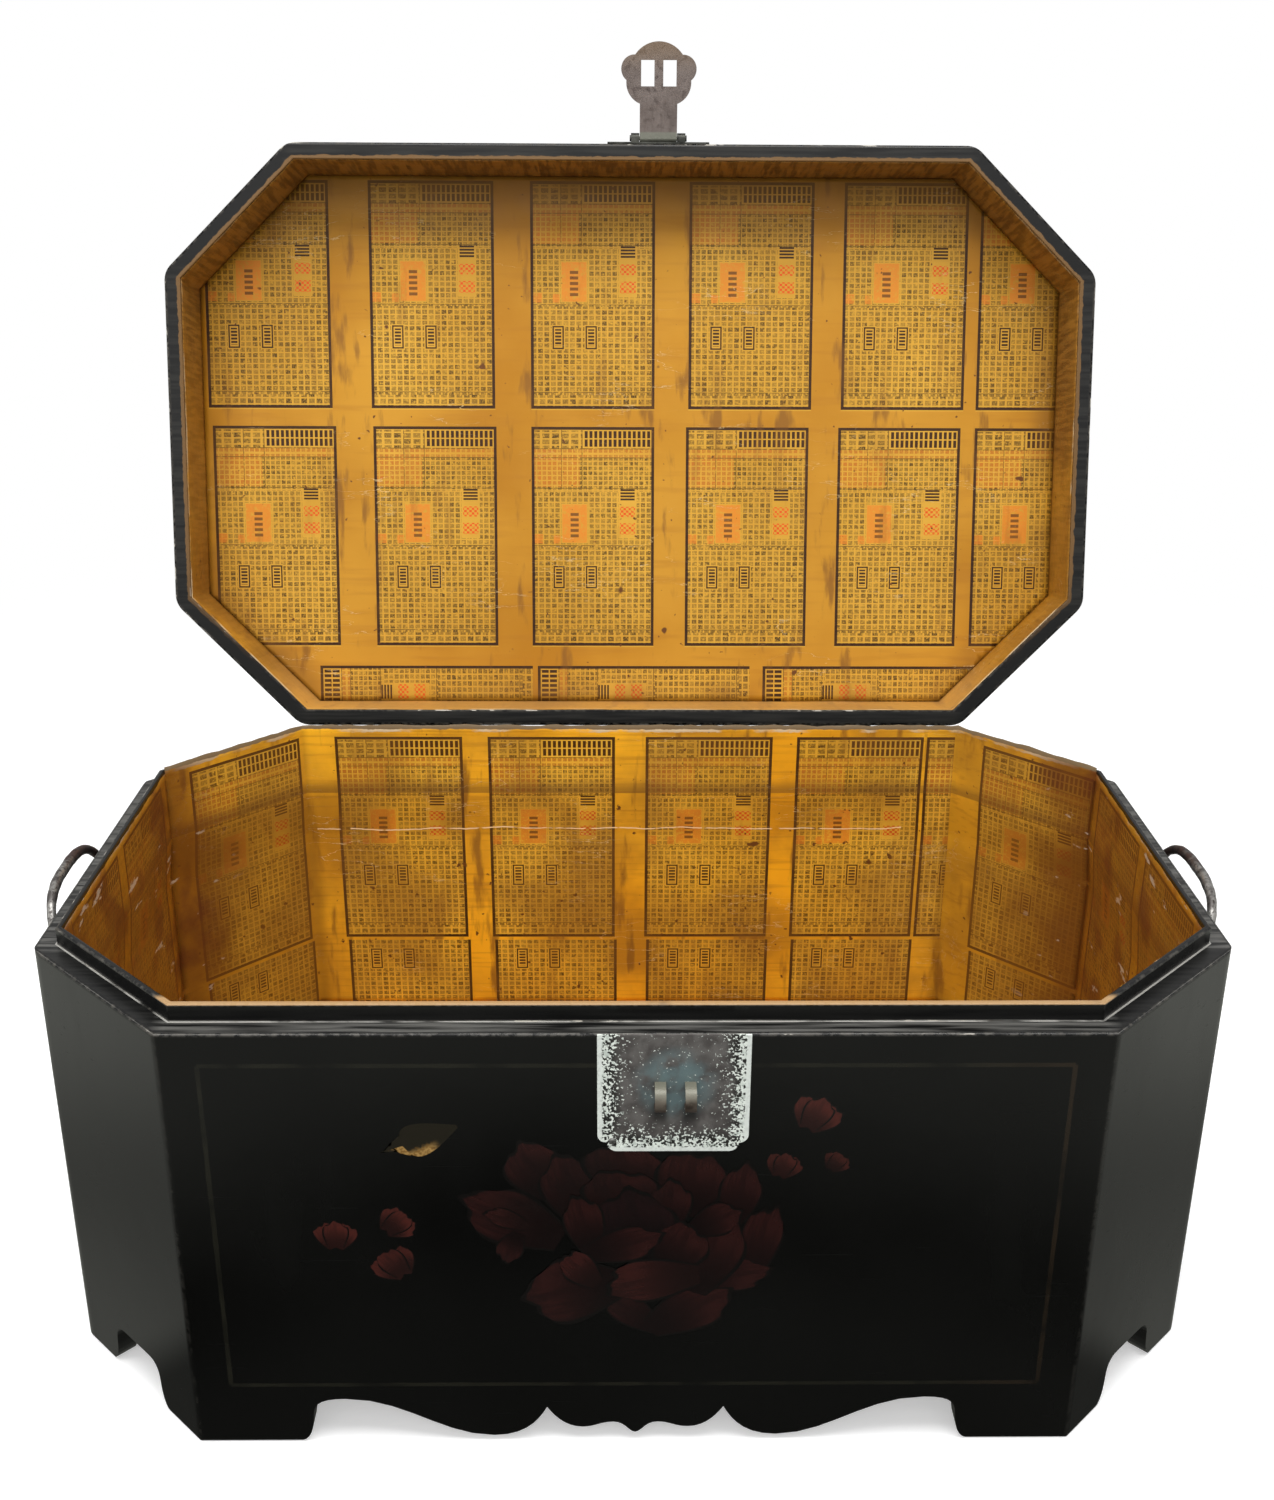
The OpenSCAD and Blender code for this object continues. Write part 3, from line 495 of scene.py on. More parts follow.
def paste(into, low, high, prints, place, folds=(), trims=(), step=0.007):
    """Adds a panel between two corners, folded, trimmed and cut along its prints, then set in place."""
    panel = bmesh.new()
    size = Vector(high) - Vector(low)
    bmesh.ops.create_grid(panel, x_segments=round(size.x / step), y_segments=round(size.y / step), size=0.5)
    bmesh.ops.scale(panel, vec=(size.x, size.y, 1), verts=panel.verts)
    bmesh.ops.translate(panel, vec=(low[0] + size.x / 2, low[1] + size.y / 2, 0), verts=panel.verts)
    cuts = [(spot, way, True) for spot, way in trims]
    for left, right, bottom, top, *_ in prints:
        cuts += [((at, 0, 0), (1, 0, 0), False) for at in (left, right)]
        cuts += [((0, at, 0), (0, 1, 0), False) for at in (bottom, top)]
    cuts += [((0, at, 0), (0, 1, 0), False) for at in folds]
    for spot, way, trim in cuts:
        bmesh.ops.bisect_plane(panel, geom=panel.verts[:] + panel.edges[:] + panel.faces[:], dist=1e-6,
                               plane_co=spot, plane_no=way, clear_outer=trim)
    uv = panel.loops.layers.uv.new("print")
    for face in panel.faces:
        middle = face.calc_center_median()
        for loop in face.loops:
            loop[uv].uv = print_spot(loop.vert.co, middle, prints)
    for vert in panel.verts:
        vert.co = place(vert.co)
    merge(into, panel)


def ripple(spot, from_edge=1.0):
    """How far pasted paper lifts from its board, nothing at a panel's edge."""
    swell = WAVE * noise.noise(spot * 17) + WRINKLE * noise.noise(spot * 70)
    return swell * min(1, from_edge / PASTED_EDGE)


def wall_place(side, inset_at, free_edge, fray, way=Matrix()):
    """Sets a panel's point, counted from its left end and the ground, on a side's inner face."""
    start, end = outline_corner(side + 1, CLEAR), outline_corner(side, CLEAR)
    long = (end - start).length
    inward = Vector((end.y - start.y, start.x - end.x, 0)).normalized()

    def place(point):
        inset = inset_at(point.y)
        spot = outline_corner(side + 1, inset).lerp(outline_corner(side, inset), point.x / long)
        spot.z = point.y
        if abs(point.y - free_edge) < 1e-5:
            spot.z += fray * (0.5 + noise.noise(spot * 90))
        spot += inward * ripple(spot, min(point.x, long - point.x))
        return way @ (spot + Vector((0, MIDDLE_Y, 0)))

    return place, long


def printed_paper(name, on_lid, gold, amber, torn_from, torn_to):
    """Gold varnished paper; from torn_from to torn_to its free edge turns to bare fibre."""
    finish = Finish(name, IOR=1.3)
    where = trunk_place(finish, on_lid)
    x, y, z = split(finish, where)
    nearest, _ = wall_distances(finish, x, y)
    pasted = finish.cloud(where, 5, 4)
    fibres = finish.cloud(where, 260, 3, (0.04, 0.4, 1))
    colour = finish.blend(finish.fade(pasted, 0.35, 0.7), gold, amber)
    colour = finish.blend(finish.all_of(finish.fade(fibres, 0.5, 0.72), 0.35), colour, (0.4, 0.16, 0.014, 1))

    place = finish.add("VectorMath", {0: finish.add("UVMap", uv_map="print"), 3: 1000}, operation="SCALE")
    p, q, _ = split(finish, place)
    page = finish.all_of(finish.within(p, 0, PAGE_WIDE), finish.within(q, 0, PAGE_TALL))

    def patch(left, right, top, bottom):
        """A block of the print, in millimetres across and down from its upper left corner."""
        return finish.all_of(finish.within(p, left, right), finish.within(q, top, bottom))

    def frame_line(left, right, top, bottom, wide):
        """The outline of such a block, wide millimetres thick."""
        hole = patch(left + wide, right - wide, top + wide, bottom - wide)
        return finish.all_of(patch(left, right, top, bottom), finish.sum("SUBTRACT", 1, hole))

    def hatched(value, pitch, share):
        """Bars across value, a share of the pitch wide."""
        return finish.within(finish.sum("FRACT", finish.sum("DIVIDE", value, pitch)), 0, share)

    tint = finish.blend(finish.fade(pasted, 0.3, 0.7), (0.82, 0.5, 0.07, 1), (0.7, 0.41, 0.045, 1))
    colour = finish.blend(finish.all_of(page, 0.45 if on_lid else 0.7), colour, tint)

    bands = finish.add("ValToRGB", [finish.sum("DIVIDE", q, PAGE_TALL)])
    ramp = bands.node.color_ramp
    ramp.interpolation = "CONSTANT"
    ramp.elements[0].color = (0.5, 0.5, 0, 1)
    for top, wide, tall, full in ((3, 9.4, 5.8, 1), (20.5, 5, 8.6, 0.9), (30.2, 5, 4.7, 0.95),
                                  (62, 5.6, 5.2, 0.9), (116, 6.2, 5.2, 0.95), (200, 7.4, 6, 1),
                                  (212, 7.4, 6, 0)):
        ramp.elements.new(top / PAGE_TALL).color = (wide / CELL_SCALE, tall / CELL_SCALE, full, 1)
    wide, tall, full = (finish.add("SeparateColor", [bands], out=channel) for channel in range(3))
    column = finish.sum("DIVIDE", p, finish.sum("MULTIPLY", wide, CELL_SCALE))
    row = finish.sum("DIVIDE", q, finish.sum("MULTIPLY", tall, CELL_SCALE))
    cell = finish.all_of(finish.within(finish.sum("FRACT", column), 0.13, 0.87),
                         finish.within(finish.sum("FRACT", row), 0.12, 0.88))
    place_in_rows = finish.add("CombineXYZ", [finish.sum("FLOOR", column), finish.sum("FLOOR", row)])
    inked = finish.add("MapRange", [finish.add("TexWhiteNoise", [place_in_rows]), 0, 1, 0.5, 1])
    tangle = finish.any_of(finish.cloud(place, 1, 1, (1.3, 0.35, 1)),
                           finish.cloud(place, 1, 1, (0.35, 1.4, 1)))
    clear = finish.any_of(patch(50, 120, 3, 20.5), patch(29, 55, 74, 113), patch(85, 103, 60, 108),
                          patch(20, 33, 134, 158), patch(52, 65, 134, 158))
    strokes = finish.add("MapRange", [tangle, 0.46, 0.5, 0.3, 1])
    marks = finish.all_of(cell, strokes, full, inked, finish.sum("SUBTRACT", 1, clear))

    bars = finish.all_of(patch(52, 118, 4, 19), hatched(finish.sum("SUBTRACT", p, 52), 4.7, 0.62),
                         finish.sum("SUBTRACT", 1, patch(52, 118, 10.8, 12)))
    rules = finish.any_of(*(patch(0, 120, at, at + 0.8) for at in (20.6, 29.3, 58.8, 114.6, 197.6)),
                          *(patch(at, at + 0.8, 3, 60) for at in (29, 49)))
    outer = finish.any_of(patch(0, 29.5, 0, 215), patch(55.5, 120, 0, 215))
    frames = finish.any_of(frame_line(21, 32, 135, 157, 1.4), frame_line(53, 64, 135, 157, 1.4),
                           finish.all_of(patch(23.5, 61.5, 138, 154), outer, hatched(q, 3.2, 0.6)),
                           finish.all_of(patch(87, 101, 60, 72), hatched(q, 3, 0.6)),
                           frame_line(0, 120, 0, 213.8, 2.8))
    bold = finish.all_of(page, finish.any_of(bars, frames))
    seals = finish.any_of(patch(2.8, 11, 104, 113), patch(21.5, 28, 105, 113))
    label = finish.all_of(patch(30, 54, 75, 112), finish.fade(finish.cloud(place, 0.9, 2), 0.3, 0.42))
    inner = finish.all_of(patch(38, 46, 82, 108), hatched(q, 5.2, 0.55))
    chequer = finish.sum("COMPARE", hatched(p, 5, 0.5), hatched(q, 4.6, 0.5), 0.1)
    blocks = finish.all_of(chequer, finish.any_of(patch(86.5, 101.5, 77, 87), patch(86.5, 101.5, 93, 104)))
    reddish = finish.all_of(marks, finish.any_of(patch(2, 118, 21.5, 29.3), patch(2, 47, 30, 58)))
    seals = finish.all_of(seals, finish.fade(tangle, 0.4, 0.5))
    red = finish.all_of(page, finish.any_of(label, seals, reddish))
    press = finish.fade(finish.cloud(where, 340, 3), 0.25, 0.5)
    colour = finish.blend(finish.all_of(page, finish.any_of(marks, finish.all_of(rules, 0.8)), press, 0.92),
                          colour, (0.042, 0.021, 0.005, 1))
    colour = finish.blend(finish.all_of(red, press, 0.75), colour, (0.74, 0.22, 0.02, 1))
    colour = finish.blend(finish.all_of(page, inner, 0.8), colour, (0.1, 0.04, 0.01, 1))
    colour = finish.blend(finish.all_of(page, blocks, press), colour, (0.74, 0.1, 0.01, 1))
    colour = finish.blend(finish.all_of(bold, 0.96), colour, (0.03, 0.009, 0.005, 1))

    stain = finish.cloud(where, 13, 5)
    edge_dirt = finish.all_of(finish.fade(nearest, -0.05, -0.0145), finish.fade(stain, 0.3, 0.7), 0.6)
    colour = finish.blend(edge_dirt, colour, (0.2, 0.085, 0.018, 1))
    spots = finish.any_of(finish.fade(finish.cloud(where, 130, 2), 0.7, 0.76),
                          finish.fade(finish.cloud(where, 46, 2), 0.74, 0.78))
    colour = finish.blend(spots, colour, (0.14, 0.05, 0.012, 1))
    smears = finish.fade(finish.cloud(where, 44, 5, (1.5, 0.3, 0.3)), 0.56, 0.7)
    colour = finish.blend(finish.all_of(smears, finish.sum("SUBTRACT", 0.8, finish.all_of(page, 0.5))),
                          colour, (0.24, 0.1, 0.016, 1))
    cracks = finish.off(finish.cloud(where, 34, 6, (0.4, 2, 2)), 0.5)
    cracks = finish.all_of(finish.fade(cracks, 0.005, 0.002),
                           finish.fade(finish.cloud(where, 12, 2), 0.52, 0.66), 0.5)
    colour = finish.blend(cracks, colour, (0.86, 0.66, 0.35, 1))
    ragged = finish.sum("ADD", z, finish.all_of(finish.cloud(where, 160, 4), 0.004))
    torn = finish.all_of(finish.fade(ragged, torn_from + 0.002, torn_to + 0.002),
                         finish.fade(finish.cloud(where, 30, 4), 0.46, 0.62))
    colour = finish.blend(torn, colour, (0.66, 0.52, 0.33, 1))
    finish.paint(Base_Color=colour,
                 Roughness=finish.add("MapRange", [finish.cloud(where, 30, 4), 0.3, 0.7, 0.34, 0.56]))
    height = finish.sum("ADD", finish.sum("MULTIPLY", fibres, 0.7), finish.cloud(where, 60, 4))
    finish.relief(finish.sum("ADD", height, finish.sum("MULTIPLY", cracks, 3)), 0.0006, 0.5)
    return finish, where, colour, stain


# The chest's paper gets a brighter gold than the lid's same paper: painted light for the dim box.
chest_paper, where, colour, stain = printed_paper(
    "chest_paper", False, (1, 0.52, 0.026, 1), (0.9, 0.41, 0.012, 1), PAPER_TOP - 0.0022, PAPER_TOP - 0.0012)
x, y, z = split(chest_paper, where)
# A darker band on the paper just above the lip's foot, darkest at the foot.
darker_above_lip_foot = chest_paper.all_of(chest_paper.fade(z, LIP_FOOT - 0.0008, LIP_FOOT + 0.0004),
                            chest_paper.fade(z, LIP_FOOT + 0.017, LIP_FOOT + 0.002), 0.6)
colour = chest_paper.blend(darker_above_lip_foot, colour, (0.12, 0.055, 0.016, 1))
across = chest_paper.sum("ABSOLUTE", x)
beyond = chest_paper.fade(chest_paper.sum("ADD", across, chest_paper.sum("ABSOLUTE", y)), 0.545, 0.557)
colour = chest_paper.blend(chest_paper.all_of(beyond, 0.5), colour, (0.17, 0.07, 0.008, 1))
reach = chest_paper.sum("ADD", across, chest_paper.all_of(stain, 0.05))
ends = chest_paper.fade(reach, 0.385, 0.43)
colour = chest_paper.blend(chest_paper.all_of(ends, 0.74), colour, (0.14, 0.045, 0.008, 1))
bled = chest_paper.all_of(ends, chest_paper.fade(chest_paper.cloud(where, 17, 5), 0.5, 0.62), 0.55)
colour = chest_paper.blend(bled, colour, (0.1, 0.022, 0.01, 1))
scuffs = chest_paper.fade(chest_paper.cloud(where, 55, 5, (1, 0.5, 1.6)), 0.66, 0.7)
scuffs = chest_paper.all_of(ends, scuffs, 0.8)
colour = chest_paper.blend(scuffs, colour, (0.5, 0.42, 0.34, 1))
upper = chest_paper.sum("ADD", z, chest_paper.all_of(chest_paper.cloud(where, 120, 4), 0.003))
worn_edge = chest_paper.fade(upper, PAPER_TOP + 0.002, PAPER_TOP + 0.003)
colour = chest_paper.blend(worn_edge, colour, (0.16, 0.105, 0.05, 1))
CREASE_HEIGHT, CREASE_LEFT, CREASE_RIGHT = 0.2575, -0.3, 0.26
bend = chest_paper.sum("ADD", z, chest_paper.all_of(chest_paper.cloud(where, 14, 5), 0.014))
crease = chest_paper.all_of(chest_paper.fade(chest_paper.off(bend, CREASE_HEIGHT), 0.0008, 0.0003),
                            chest_paper.within(x, CREASE_LEFT, CREASE_RIGHT), chest_paper.fade(y, 0.2, 0.21),
                            chest_paper.fade(chest_paper.cloud(where, 60, 3), 0.38, 0.48))
chest_paper.paint(Base_Color=chest_paper.blend(crease, colour, (0.95, 0.76, 0.5, 1)))


def chest_inset(height):
    """The lining leans in below the lip boards, which stand proud of the walls."""
    lean = (height - LEAN_FROM) / (LIP_FOOT - LEAN_FROM)
    return CLEAR + LIP_THICK * min(1, max(0, lean))


TOP_PRINT, NEXT_PRINT, TOP_TALL = 0.347, 0.13, 0.214
NEXT_ASIDE, NEXT_HIDDEN = 0.002, 0.125
LONG_LEFTS, END_LEFTS, LAST_LEFT = (0.029, 0.173, 0.322, 0.465), (0.017, 0.154), 0.588
lining = bmesh.new()
for side, lefts in enumerate((LONG_LEFTS, (0.016,), END_LEFTS, (0.03,),
                              LONG_LEFTS, (0.024,), END_LEFTS, (0.014,))):
    edge = PAPER_TOP + (BACK_RISE if side in BACK_SIDES else 0)
    place, long = wall_place(side, chest_inset, edge, -FRAY)
    prints = [print_at(left, TOP_PRINT, tall=TOP_TALL) for left in lefts]
    prints += [print_at(left + NEXT_ASIDE, NEXT_PRINT, tall=NEXT_PRINT - FLOOR_TOP, from_q=NEXT_HIDDEN)
               for left in lefts]
    if side % 4 == 0:
        prints.append(print_at(LAST_LEFT, TOP_PRINT, wide=long - 0.59, tall=TOP_TALL))
    paste(lining, (0, FLOOR_TOP), (long, edge), prints, place, folds=(LEAN_FROM, LIP_FOOT))
bmesh.ops.remove_doubles(lining, verts=lining.verts, dist=0.00002)
wall_paper = finished(lining, "wall_paper", chest_paper.material, "chest", PAPER)
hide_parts("wall_lining")


def level_paper(name, inset, prints, place, material, body):
    """A sheet trimmed to the trunk's plan, for the floor or for the lid's ceiling."""
    trims = []
    for side in (1, 3, 5, 7):
        start, end = outline_corner(side, inset), outline_corner(side + 1, inset)
        trims.append((start, (end.y - start.y, start.x - end.x, 0)))
    half = (LENGTH / 2 - inset, DEPTH / 2 - inset)
    sheet = bmesh.new()
    paste(sheet, (-half[0], -half[1]), half, prints, place, trims=trims)
    return finished(sheet, name, material, body, PAPER)


floor_prints = [print_at(left, top) for left in (-0.39, -0.235, -0.08, 0.075, 0.23) for top in (0.235, 0.005)]
floor_paper = level_paper("floor_paper", CLEAR, floor_prints, lambda point: Vector(
    (point.x, point.y + MIDDLE_Y, FLOOR_TOP + ripple(point))), chest_paper.material, "chest")
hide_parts("floor_lining")


# The hinges: two leaves of sheet brass each, curled round a pin and nailed to the chest's
# back and to the lid's, all browned with age.
def old_brass(name, body, bright, dull, rough=0.42):
    """Browned metal, mottled, with brighter rubbed places and dark stains."""
    finish = Finish(name, Metallic=0.85)
    where = finish.add("TexCoord", out=3)
    mottle = finish.cloud(where, 70, 5)
    colour = finish.blend(finish.fade(mottle, 0.38, 0.62), body, bright)
    colour = finish.blend(finish.fade(finish.cloud(where, 160, 5), 0.52, 0.68), colour, dull)
    gloss = finish.sum("ADD", finish.sum("MULTIPLY", mottle, 0.3), rough - 0.15)
    finish.paint(Base_Color=colour, Roughness=gloss)
    height = finish.sum("ADD", finish.cloud(where, 900, 4), finish.sum("MULTIPLY", mottle, 2))
    finish.relief(height, 0.0002, 0.5)
    return finish, where, colour


hinge_brass, _, _ = old_brass(
    "hinge_brass", (0.11, 0.085, 0.06, 1), (0.2, 0.155, 0.1, 1), (0.035, 0.028, 0.022, 1))
for hand in ("left", "right"):
    hinge_brass.coat(*(hand + "_hinge_" + part for part in ("chest_leaf", "lid_leaf", "pin")))
hinge_brass.coat("hinge_chest_nails", "hinge_lid_nails")

# The lid: a top board with a rounded edge on eight mitred side boards, lacquered like
# the chest outside and on the rim, where the lacquer is rubbed through.
SEAT, LID_TALL, LID_WALL, TOP_BOARD = 0.0004, 0.086, 0.015, 0.012
LID_RIM = LEDGE + SEAT
LID_TOP = LID_RIM + LID_TALL
LID_EDGES = ((0, LID_TOP, 0.006), (0, LID_RIM, 0.0035), (LID_WALL, LID_RIM, 0.0025))
LID_DUST = (0.016, 0.0155, 0.0135, 1)
lid_lacquer, where, colour = lacquer(
    "lid_lacquer", True, LID_EDGES, (LID_RIM - 0.001, LID_RIM + 0.0008), LID_DUST)
x, y, z = split(lid_lacquer, where)
nearest, _ = wall_distances(lid_lacquer, x, y)
ragged = lid_lacquer.sum("ADD", nearest, lid_lacquer.all_of(lid_lacquer.cloud(where, 130, 4), 0.004))
bared = lid_lacquer.all_of(lid_lacquer.fade(ragged, -0.0092, -0.0102), lid_lacquer.fade(y, 0.22, 0.1),
                           lid_lacquer.fade(z, LID_RIM + 0.004, LID_RIM + 0.003))
colour = lid_lacquer.blend(bared, colour, (0.16, 0.085, 0.028, 1))
lid_lacquer.paint(Base_Color=colour, Specular_IOR_Level=0.33)
lid_lacquer.coat("lid_top_board", *("lid_" + side + "_wall" for side in SIDES))

# The lid's lining: the same printed sheets on the underside of the top board, two full
# rows and a strip laid sideways, with plain varnished paper on the side boards.
GLUE, ABOVE_RIM = 0.0004, 0.001
LID_CLEAR = LID_WALL + GLUE
CEILING = LID_TOP - TOP_BOARD - GLUE
PAPER_LOW = LID_RIM + ABOVE_RIM
RAISE_LID = Matrix.Translation(HINGE) @ Matrix.Rotation(-OPEN, 4, "X") @ Matrix.Translation(-HINGE)
# The lid's paper gets a darker gold than the chest's same paper: painted shade, as the lamps light the lid
# fully.
lid_paper, where, colour, stain = printed_paper(
    "lid_paper", True, (0.6, 0.29, 0.025, 1), (0.45, 0.19, 0.01, 1), LID_RIM + 0.006, LID_RIM + 0.004)
_, y, z = split(lid_paper, where)
shaded = lid_paper.sum("SUBTRACT", y, lid_paper.all_of(stain, 0.03))
shaded = lid_paper.all_of(lid_paper.fade(shaded, -0.19, -0.262), 0.6)
colour = lid_paper.blend(shaded, colour, (0.17, 0.085, 0.016, 1))
# Side boards take a streaky dark brown, strongest at the lid's front board: painted shade over the paper's
# streaks.
on_side = lid_paper.fade(z, CEILING - 0.0006, CEILING - 0.0014)
streaks = lid_paper.fade(lid_paper.cloud(where, 260, 4, (1, 1, 0.1)), 0.4, 0.62)
side_tone = lid_paper.blend(streaks, (0.3, 0.15, 0.03, 1), (0.12, 0.055, 0.012, 1))
painted_shade_amount = lid_paper.add("MapRange", [y, -0.2, 0.24, 0.8, 0.16])
colour = lid_paper.blend(lid_paper.all_of(on_side, painted_shade_amount), colour, side_tone)
# The back side board is lightened: painted light.
painted_light_on_back = lid_paper.all_of(on_side, lid_paper.fade(y, 0.2, 0.245), 0.32)
colour = lid_paper.blend(painted_light_on_back, colour, (0.78, 0.46, 0.16, 1))
lid_paper.paint(Base_Color=colour)

ceiling_prints = [print_at(left, 0.248, tall=0.218) for left in (-0.41, -0.252, -0.097, 0.056, 0.205, 0.337)]
ceiling_prints += [print_at(left, 0.017) for left in (-0.407, -0.251, -0.097, 0.054, 0.203, 0.337)]
ceiling_prints += [print_at(left, -0.217, wide=PRINT_TALL - 0.004, tall=0.0352, from_p=0.0848, turned=True)
                   for left in (-0.308, -0.092, 0.132)]
ceiling_paper = level_paper("ceiling_paper", LID_CLEAR, ceiling_prints, lambda point: RAISE_LID @ Vector(
    (point.x, MIDDLE_Y - point.y, CEILING - ripple(point))), lid_paper.material, "lid")
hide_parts("lid_ceiling_lining")

lid_sides = bmesh.new()
for side in range(8):
    place, long = wall_place(side, lambda height: LID_CLEAR, PAPER_LOW, FRAY, RAISE_LID)
    paste(lid_sides, (0, PAPER_LOW), (long, CEILING), [], place, step=0.006)
bmesh.ops.remove_doubles(lid_sides, verts=lid_sides.verts, dist=0.00002)
lid_side_paper = finished(lid_sides, "lid_side_paper", lid_paper.material, "lid", PAPER)
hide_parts("lid_wall_lining")

# The lock: a pale plate of thin brass nailed to the front, up to its top edge, with two
# strip staples driven through it; its white bloom is rubbed off round the staples.
PLATE_LOW, PLATE_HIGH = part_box("lock_plate")
PLATE_MIDDLE = (PLATE_LOW + PLATE_HIGH) / 2
STAPLES_AT, STAPLE_ASIDE = (0.001, 0, 0.007), 0.01
plate = Finish("plate_bloom")
where = plate.add("Mapping", {"Vector": plate.add("TexCoord", out=3), "Location": -PLATE_MIDDLE})
x, _, z = split(plate, where)
from_side = plate.sum("SUBTRACT", (PLATE_HIGH.x - PLATE_LOW.x) / 2, plate.sum("ABSOLUTE", x))
from_foot = plate.sum("ADD", z, (PLATE_HIGH.z - PLATE_LOW.z) / 2)
inward = plate.sum("MINIMUM", from_side, from_foot)
uneven = plate.sum("MULTIPLY", plate.sum("SUBTRACT", plate.cloud(where, 45, 3), 0.5), 0.012)
cover = plate.fade(plate.sum("ADD", inward, uneven), 0.026, -0.002)
crumbs = plate.sum("ADD", plate.cloud(where, 620, 2), plate.sum("MULTIPLY", cover, 0.28))
bloom = plate.fade(crumbs, 0.69, 0.71)
rim = plate.fade(inward, 0.0036, 0.0026)
bare = plate.blend(plate.fade(plate.cloud(where, 80, 5), 0.35, 0.65),
                   (0.1, 0.09, 0.085, 1), (0.18, 0.17, 0.16, 1))
bare = plate.blend(plate.fade(cover, 0.2, 0.7), bare, (0.03, 0.029, 0.026, 1))
from_staples = plate.add("VectorMath", [where, STAPLES_AT], operation="SUBTRACT")
from_staples = plate.add("VectorMath", [from_staples], out=1, operation="LENGTH")
verdigris = plate.all_of(plate.fade(plate.sum("ADD", from_staples, uneven), 0.032, 0.014),
                         plate.fade(plate.cloud(where, 60, 5), 0.34, 0.56), 0.9)
bare = plate.blend(verdigris, bare, (0.17, 0.25, 0.26, 1))
# A dark patch on the plate under each staple: painted shadow.
below_staple = plate.off(plate.off(x, STAPLES_AT[0]), STAPLE_ASIDE)
painted_staple_shadow = plate.all_of(plate.fade(z, -0.004, -0.011), plate.fade(z, -0.03, -0.016),
                    plate.fade(below_staple, 0.008, 0.002), 0.85)
bare = plate.blend(painted_staple_shadow, bare, (0.02, 0.017, 0.015, 1))
chalk = plate.blend(plate.fade(plate.cloud(where, 240, 4), 0.4, 0.7),
                    (0.84, 0.9, 0.82, 1), (0.56, 0.62, 0.56, 1))
colour = plate.blend(plate.all_of(rim, 0.9), plate.blend(bloom, bare, chalk), (0.78, 0.83, 0.77, 1))
plate.paint(Base_Color=colour, Roughness=plate.add("MapRange", [bloom, 0, 1, 0.42, 0.75]),
            Metallic=plate.sum("MULTIPLY", plate.sum("SUBTRACT", 1, plate.any_of(bloom, rim)), 0.35))
plate.relief(plate.sum("ADD", bloom, plate.cloud(where, 200, 3)), 0.0002, 0.5)
plate.coat("lock_plate")

STAPLE_LOW, STAPLE_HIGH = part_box("lock_staples")
staple, where, colour = old_brass(
    "staple_brass", (0.07, 0.052, 0.038, 1), (0.12, 0.098, 0.075, 1), (0.04, 0.029, 0.02, 1))
_, _, z = split(staple, where)
# The staple lightens towards its top and darkens at its foot: painted light and shade from above.
top = staple.fade(z, (STAPLE_LOW.z + STAPLE_HIGH.z) / 2, STAPLE_HIGH.z - 0.001)
colour = staple.blend(top, colour, (0.17, 0.165, 0.125, 1))
foot = staple.fade(z, STAPLE_LOW.z + 0.008, STAPLE_LOW.z + 0.001)
staple.paint(Base_Color=staple.blend(foot, colour, (0.05, 0.028, 0.018, 1)), Metallic=0.15)
staple.coat("lock_staples")
nail_head, _, _ = old_brass(
    "dull_nail", (0.1, 0.1, 0.09, 1), (0.2, 0.2, 0.19, 1), (0.05, 0.05, 0.045, 1), rough=0.55)
nail_head.coat("lock_plate_nail")

# The hasp: a cloud-shaped leaf of heavy sheet brass with two slots, curled round a pin
# between two ears of its plate, which is nailed to the front of the lid.
HASP_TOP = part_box("hasp")[1].z
PIN = Vector(joints["hasp_hinge"]["pos_m"])
hasp, where, colour = old_brass(
    "hasp_brass", (0.2, 0.163, 0.148, 1), (0.235, 0.195, 0.178, 1), (0.14, 0.112, 0.102, 1))
_, _, z = split(hasp, where)
golden = hasp.all_of(hasp.fade(z, HASP_TOP - 0.03, HASP_TOP), 0.5)
colour = hasp.blend(golden, colour, (0.27, 0.18, 0.1, 1))
runs = hasp.all_of(hasp.fade(hasp.cloud(where, 210, 4, (1, 0.12, 0.12)), 0.5, 0.68),
                   hasp.fade(z, PIN.z + 0.05, PIN.z + 0.02), 0.25)
colour = hasp.blend(runs, colour, (0.06, 0.046, 0.04, 1))
knuckle = hasp.all_of(hasp.fade(z, PIN.z + 0.0065, PIN.z + 0.0045), 0.8)
hasp.paint(Base_Color=hasp.blend(knuckle, colour, (0.27, 0.28, 0.23, 1)))
hasp.coat("hasp")
ears, _, _ = old_brass(
    "hasp_plate_brass", (0.026, 0.027, 0.023, 1), (0.06, 0.06, 0.052, 1), (0.012, 0.012, 0.01, 1))
ears.coat("hasp_plate", "hasp_plate_nails", "hasp_pin")

# The bail handles: round iron rod, forged thicker in the grip, bent to a flattened arch
# and turned in at both arms to pins that swing in two wire eyes.
BAIL_HALF, BAIL_REACH, ARCH_FROM = 0.067, 0.055, 0.006
BAIL_OUT, BAIL_RAISE = 0.008, math.radians(74)
DENT, DENTS_FROM = 0.0005, 0.01
ARM_R, GRIP_R, PIN_R, HEAD_R = 0.0032, 0.0043, 0.0024, 0.0033
BEND = ((0.0525, 0, 0.0022), (0.0527, 0, HEAD_R), (0.0541, 0, HEAD_R), (0.0544, 0, PIN_R), (0.058, 0, PIN_R),
        (0.0615, 0, 0.0026), (0.0645, 0.0006, 0.0029), (0.0664, 0.0025, ARM_R))


